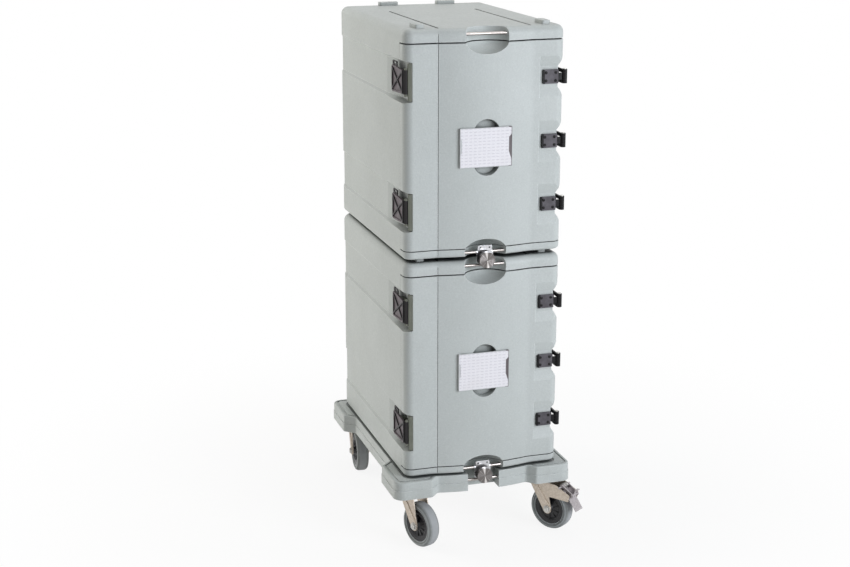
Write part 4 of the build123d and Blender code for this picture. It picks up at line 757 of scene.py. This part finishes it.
def screw_head(shape, axes):
    """Domed screw head on the local plane z = 0, with a cross recess in it."""
    rings = []
    for share in (i / SCREW_RINGS for i in range(1, SCREW_RINGS + 1)):
        top = SCREW_HEIGHT * (1 - SCREW_CROWN * share ** 3)
        ring = []
        for x, y in polygon(SCREW_SEGMENTS, SCREW_RADIUS * share):
            inside = min(abs(x), abs(y)) < RECESS_HALF and hypot(x, y) < RECESS_REACH
            ring.append(shape.point(axes, x, y, top - RECESS_DEPTH if inside else top))
        rings.append(ring)
    centre = shape.point(axes, 0, 0, SCREW_HEIGHT - RECESS_DEPTH)
    shape.bridge([centre], rings[0])
    for a, b in zip(rings, rings[1:]):
        shape.bridge(a, b)
    shape.bridge(rings[-1], shape.ring(axes, SCREW_RADIUS, 0, SCREW_SEGMENTS))


# Screws and rods, with the nodes that they stand for

def door_screws(level):
    """Screws of the door's hinge leaves and latch brackets."""
    shape = Shape()
    base = BASES[level]
    columns = (HINGE_LEAF[0] + HINGE_SCREW_INSET, HINGE_LEAF[1] - HINGE_SCREW_INSET)
    for z in HINGE_HEIGHTS:
        for x in columns:
            for drop in (-1, 1):
                height = base + z + drop * (HINGE_HALF - HINGE_SCREW_INSET)
                screw_head(shape, at(x, HINGE_FACE_Y, height, "-y"))
    for z in LATCH_HEIGHTS:
        for drop in (-1, 1):
            screw_head(shape, at(BRACKET_FACE_X, BRACKET_SCREW[0], base + z + drop * BRACKET_SCREW[1], "-x"))
    shape.piece(f"screw_heads_{level}", f"door_{level}", DARK_SCREW, [f"door_screws_{level}"])


def casing_screws():
    """Screws of the casing's hinge leaves and latch strikes."""
    shape = Shape()
    for base in BASES.values():
        for z in HINGE_HEIGHTS:
            for drop in (-1, 1):
                screw_head(shape, at(HINGE_SIDE_X, HINGE_SIDE_Y, base + z + drop * HINGE_HALF / 2, "x"))
        for z in LATCH_HEIGHTS:
            for drop in (-1, 1):
                screw_head(shape, at(STRIKE_FACE_X, STRIKE_SCREW[0], base + z + drop * STRIKE_SCREW[1], "-x"))
    shape.piece("screw_heads_casing", "root", DARK_SCREW, ["casing_screws"])


def grab_rods():
    """Drawn rods across the scoops, with chamfered ends."""
    shape = Shape()
    rods = [(base + z, ROD_HALF) for base in BASES.values() for z in ROD_HEIGHTS]
    for z, half in rods + [(DOLLY_ROD_Z, DOLLY_ROD_HALF)]:
        shape.turned(at(0, 0, z, "x"), bar(ROD_RADIUS, half, ROD_CHAMFER), 48)
    shape.piece("grab_rods_drawn", "root", STEEL, ["grab_rods"])


# Clasp knobs

def clasp_knob(level):
    """Turned knob: a knurled disc with a faced front, its shaft, collar and crossbar."""
    here = at(0, KNOB_FRONT_Y, KNOB_HEIGHTS[level], "y")
    body = f"knob_{level}"
    face = list(CENTRE_MARK)
    for i in range(FACING_RINGS):
        radius = FACING_START + i * FACING_PITCH
        face += [(radius, FACING_DEPTH), (radius + FACING_PITCH / 2, 0)]
    edge = [(KNOB_RADIUS - KNOB_CHAMFER, 0), (KNOB_RADIUS, KNOB_CHAMFER),
            (KNOB_RADIUS, KNOB_THICK - KNOB_CHAMFER), (KNOB_RADIUS - KNOB_CHAMFER, KNOB_THICK)]
    stem = [(COLLAR_RADIUS, KNOB_THICK), (COLLAR_RADIUS, COLLAR_END), (SHAFT_RADIUS, COLLAR_END),
            (SHAFT_RADIUS, SHAFT_END), (0, SHAFT_END)]
    disc = Shape()
    disc.turned(here, face + edge + stem, 96)
    disc.piece(f"knob_turned_{level}", body, KNOB, [f"clasp_knob_{level}"], axes=here)
    knurl = Shape()
    rim_place = Matrix.Translation((KNOB_RADIUS - KNURL_INSET, 0, 0)) @ Matrix.Rotation(pi / 4, 4, "Z")
    for i in range(KNURLS):
        turn = here @ Matrix.Rotation(2 * pi * i / KNURLS, 4, "Z")
        knurl.prism(turn @ rim_place, polygon(4, KNURL_RADIUS), *KNURL_SPAN)
    knurl.piece(f"knob_knurl_{level}", body, KNOB, axes=here)
    crossbar = Shape()
    crossbar.prism(here @ Matrix.Translation(CROSSBAR_PLACE), rounded(*CROSSBAR_HALF, CROSSBAR_ROUND),
                   0, CROSSBAR_THICK)
    crossbar.piece(f"knob_crossbar_{level}", body, ZINC, bevel=0.4)


# Castors

def tyre(name):
    """Tyre with a crowned tread, a stepped sidewall and two raised rings on each side."""
    here = axle_frame(name)
    shape = Shape()
    shape.turned(here, both_sides(TYRE_HALF), 128, closed=True)
    shape.piece(f"tyre_{name}", f"wheel_{name}", TYRE, [f"wheel_tyre_{name}"], axes=here)


def rim(name):
    """Black wheel centre: a hub, a dished web with ribs and the seat of the tyre."""
    here = axle_frame(name)
    shape = Shape()
    shape.turned(here, both_sides(RIM_HALF), 96, closed=True)
    for side in (-1, 1):
        low, high = sorted(side * x for x in RIM_RIB_SPAN)
        for i in range(RIM_RIBS):
            turn = here @ Matrix.Rotation(2 * pi * i / RIM_RIBS, 4, "Z")
            outline = rounded(*RIM_RIB_HALF, RIM_RIB_ROUND, 2)
            shape.prism(turn @ Matrix.Translation((RIM_RIB_RADIUS, 0, 0)), outline, low, high)
        shape.turned(here, [(radius, side * x) for radius, x in RIM_BEAD], 96, closed=True)
    shape.piece(f"rim_{name}", f"wheel_{name}", RIM, [f"wheel_rim_{name}"])


def axle(name):
    """Axle bolt, with a washer and a hexagon with a collar on each leg of the fork."""
    here = axle_frame(name)
    shape = Shape()
    shape.turned(here, bar(AXLE_RADIUS, AXLE_HALF, AXLE_CHAMFER), 32)
    washer = [(AXLE_RADIUS, LEG_FACE), (WASHER_RADIUS, LEG_FACE),
              (WASHER_RADIUS, WASHER_FACE - WASHER_CHAMFER),
              (WASHER_RADIUS - WASHER_CHAMFER, WASHER_FACE), (AXLE_RADIUS, WASHER_FACE)]
    collar = [(AXLE_RADIUS, NUT_COLLAR[0][1]), *NUT_COLLAR, (AXLE_RADIUS, NUT_COLLAR[1][1])]
    for turn in (pi, 0):
        outward = here @ Matrix.Rotation(turn, 4, "X")
        shape.turned(outward, washer, 40, closed=True)
        shape.prism(outward, polygon(6, NUT_RADIUS), WASHER_FACE, NUT_FACE)
        shape.turned(outward, collar, 32, closed=True)
    shape.piece(f"axle_{name}", f"fork_{name}", ZINC, [f"castor_axle_{name}"], bevel=0.3)


def swivel_cover(name):
    """Rolled bearing cover between the top plate and the fork's crown."""
    low, high = COVER_SPAN
    bulge = arc(COVER_BULGE, COVER_BULGE_RADIUS, -110, 90, 8)
    shape = Shape()
    shape.turned(castor_frame(name), [(COVER_BORE, low)] + bulge + [(COVER_BORE, high)], 96, closed=True)
    shape.piece(f"swivel_cover_{name}", f"fork_{name}", FORK)


def brake_spring(name):
    """Coil spring round the pivot of a brake pedal."""
    here = castor_frame(name)
    back, height = SPRING_PLACE
    count = SPRING_TURNS * SPRING_STEPS
    points = []
    for i in range(count + 1):
        angle = 2 * pi * i / SPRING_STEPS
        points.append(here @ Vector((SPRING_HALF * (2 * i / count - 1),
                                     back + SPRING_RADIUS * cos(angle), height + SPRING_RADIUS * sin(angle))))
    shape = Shape()
    shape.tube(points, SPRING_WIRE * MM, 8)
    shape.piece(f"brake_spring_{name}", f"brake_{name}", ZINC)


def brake_grip(name):
    """Grip ribs across the plate of a brake pedal."""
    here = castor_frame(name)
    start = Vector((0, *GRIP_START))
    run = Vector((0, *GRIP_END)) - start
    slope = Matrix.Rotation(atan2(run.z, run.y), 4, "X")
    shape = Shape()
    for i in range(GRIP_RIBS):
        centre = Matrix.Translation(start + run * (GRIP_FIRST + GRIP_PITCH * i))
        shape.prism(here @ centre @ slope, rounded(*GRIP_HALF, GRIP_ROUND, 2), *GRIP_SPAN)
    shape.piece(f"brake_grip_{name}", f"brake_{name}", PEDAL)


for level in BASES:
    door_screws(level)
    clasp_knob(level)
casing_screws()
grab_rods()
for name in CASTORS:
    tyre(name)
    rim(name)
    axle(name)
    swivel_cover(name)
for name in BRAKED:
    brake_spring(name)
    brake_grip(name)


# Floor, light and camera

def looked_past(tree):
    """Socket that is 1 for rays from the eye, a mirror or glass, and 0 for those that light the object."""
    path = tree.nodes.new("ShaderNodeLightPath")
    seen = path.outputs["Is Camera Ray"]
    for ray in ("Is Glossy Ray", "Is Transmission Ray"):
        node = tree.nodes.new("ShaderNodeMath")
        node.operation = "MAXIMUM"
        tree.links.new(seen, node.inputs[0])
        tree.links.new(path.outputs[ray], node.inputs[1])
        seen = node.outputs[0]
    return seen


def floor():
    """Wide pale floor that takes the object's shadow and fades to white away from it."""
    look = Look("pale_floor", Specular_IOR_Level=0.1)
    look.done(look.mix(look.noise(3, 3), "F4F4F3", "EFEFEE"), 0.7)
    glow = look.add("ShaderNodeEmission")
    glow.inputs["Strength"].default_value = 1
    fade = look.span(look.radius(), *FLOOR_FADE, 0.88, 1.0)
    blend = look.add("ShaderNodeMixShader")
    look.feed(blend.inputs[0], look.times(looked_past(look.tree), fade))
    look.feed(blend.inputs[1], look.shader.outputs[0])
    look.feed(blend.inputs[2], glow.outputs[0])
    look.feed(look.tree.nodes["Material Output"].inputs["Surface"], blend.outputs[0])
    mesh = bmesh.new()
    bmesh.ops.create_grid(mesh, x_segments=8, y_segments=8, size=FLOOR_HALF)
    data = bpy.data.meshes.new("floor")
    mesh.to_mesh(data)
    mesh.free()
    data.materials.append(look.material)
    item = bpy.data.objects.new("floor", data)
    bpy.context.scene.collection.objects.link(item)


def world(level):
    """Even studio light, and white wherever the eye or a mirror looks past the object."""
    studio = bpy.data.worlds.new("studio")
    studio.use_nodes = True
    bpy.context.scene.world = studio
    tree = studio.node_tree
    back = tree.nodes["Background"]
    back.inputs["Color"].default_value = (1, 1, 1, 1)
    strength = tree.nodes.new("ShaderNodeMapRange")
    strength.inputs["To Min"].default_value = level
    strength.inputs["To Max"].default_value = 1.0
    tree.links.new(looked_past(tree), strength.inputs["Value"])
    tree.links.new(strength.outputs[0], back.inputs["Strength"])


def lamp(name, place, target, size, power, tint="FFFFFF", glare=True):
    """Soft box that faces a point; without glare, it isn't mirrored in what it lights."""
    data = bpy.data.lights.new(name, "AREA")
    data.shape = "RECTANGLE"
    data.size, data.size_y = size
    data.energy = power
    data.color = colour(tint)[:3]
    item = bpy.data.objects.new(name, data)
    item.location = place
    item.rotation_euler = (Vector(target) - Vector(place)).to_track_quat("-Z", "Y").to_euler()
    item.visible_glossy = glare
    bpy.context.scene.collection.objects.link(item)


def camera(place, yaw, pitch, lens):
    """Camera at a place in the scene, turned from +Y towards +X and down, in degrees."""
    data = bpy.data.cameras.new("camera")
    data.lens = lens
    data.sensor_width = 36
    data.clip_end = 60
    item = bpy.data.objects.new("camera", data)
    item.location = place
    item.rotation_euler = (radians(90 - pitch), 0, radians(-yaw))
    bpy.context.scene.collection.objects.link(item)
    bpy.context.scene.camera = item


floor()
world(WORLD_LEVEL)
lamp("front_right", (2.15, -3.45, 1.75), (0, 0, 0.7), (2.4, 2.6), 140, "F4F8FF")
lamp("left_rear", (-3.35, 2.3, 1.9), (0, 0, 0.8), (2.4, 2.4), 112, "FFFCF6", glare=False)
lamp("overhead", (0.2, 0.4, 3.8), (0, 0, 1.0), (2.6, 2.6), 36)
camera(CAMERA_PLACE, CAMERA_YAW, CAMERA_PITCH, CAMERA_LENS)

bpy.context.scene.view_settings.view_transform = "Standard"
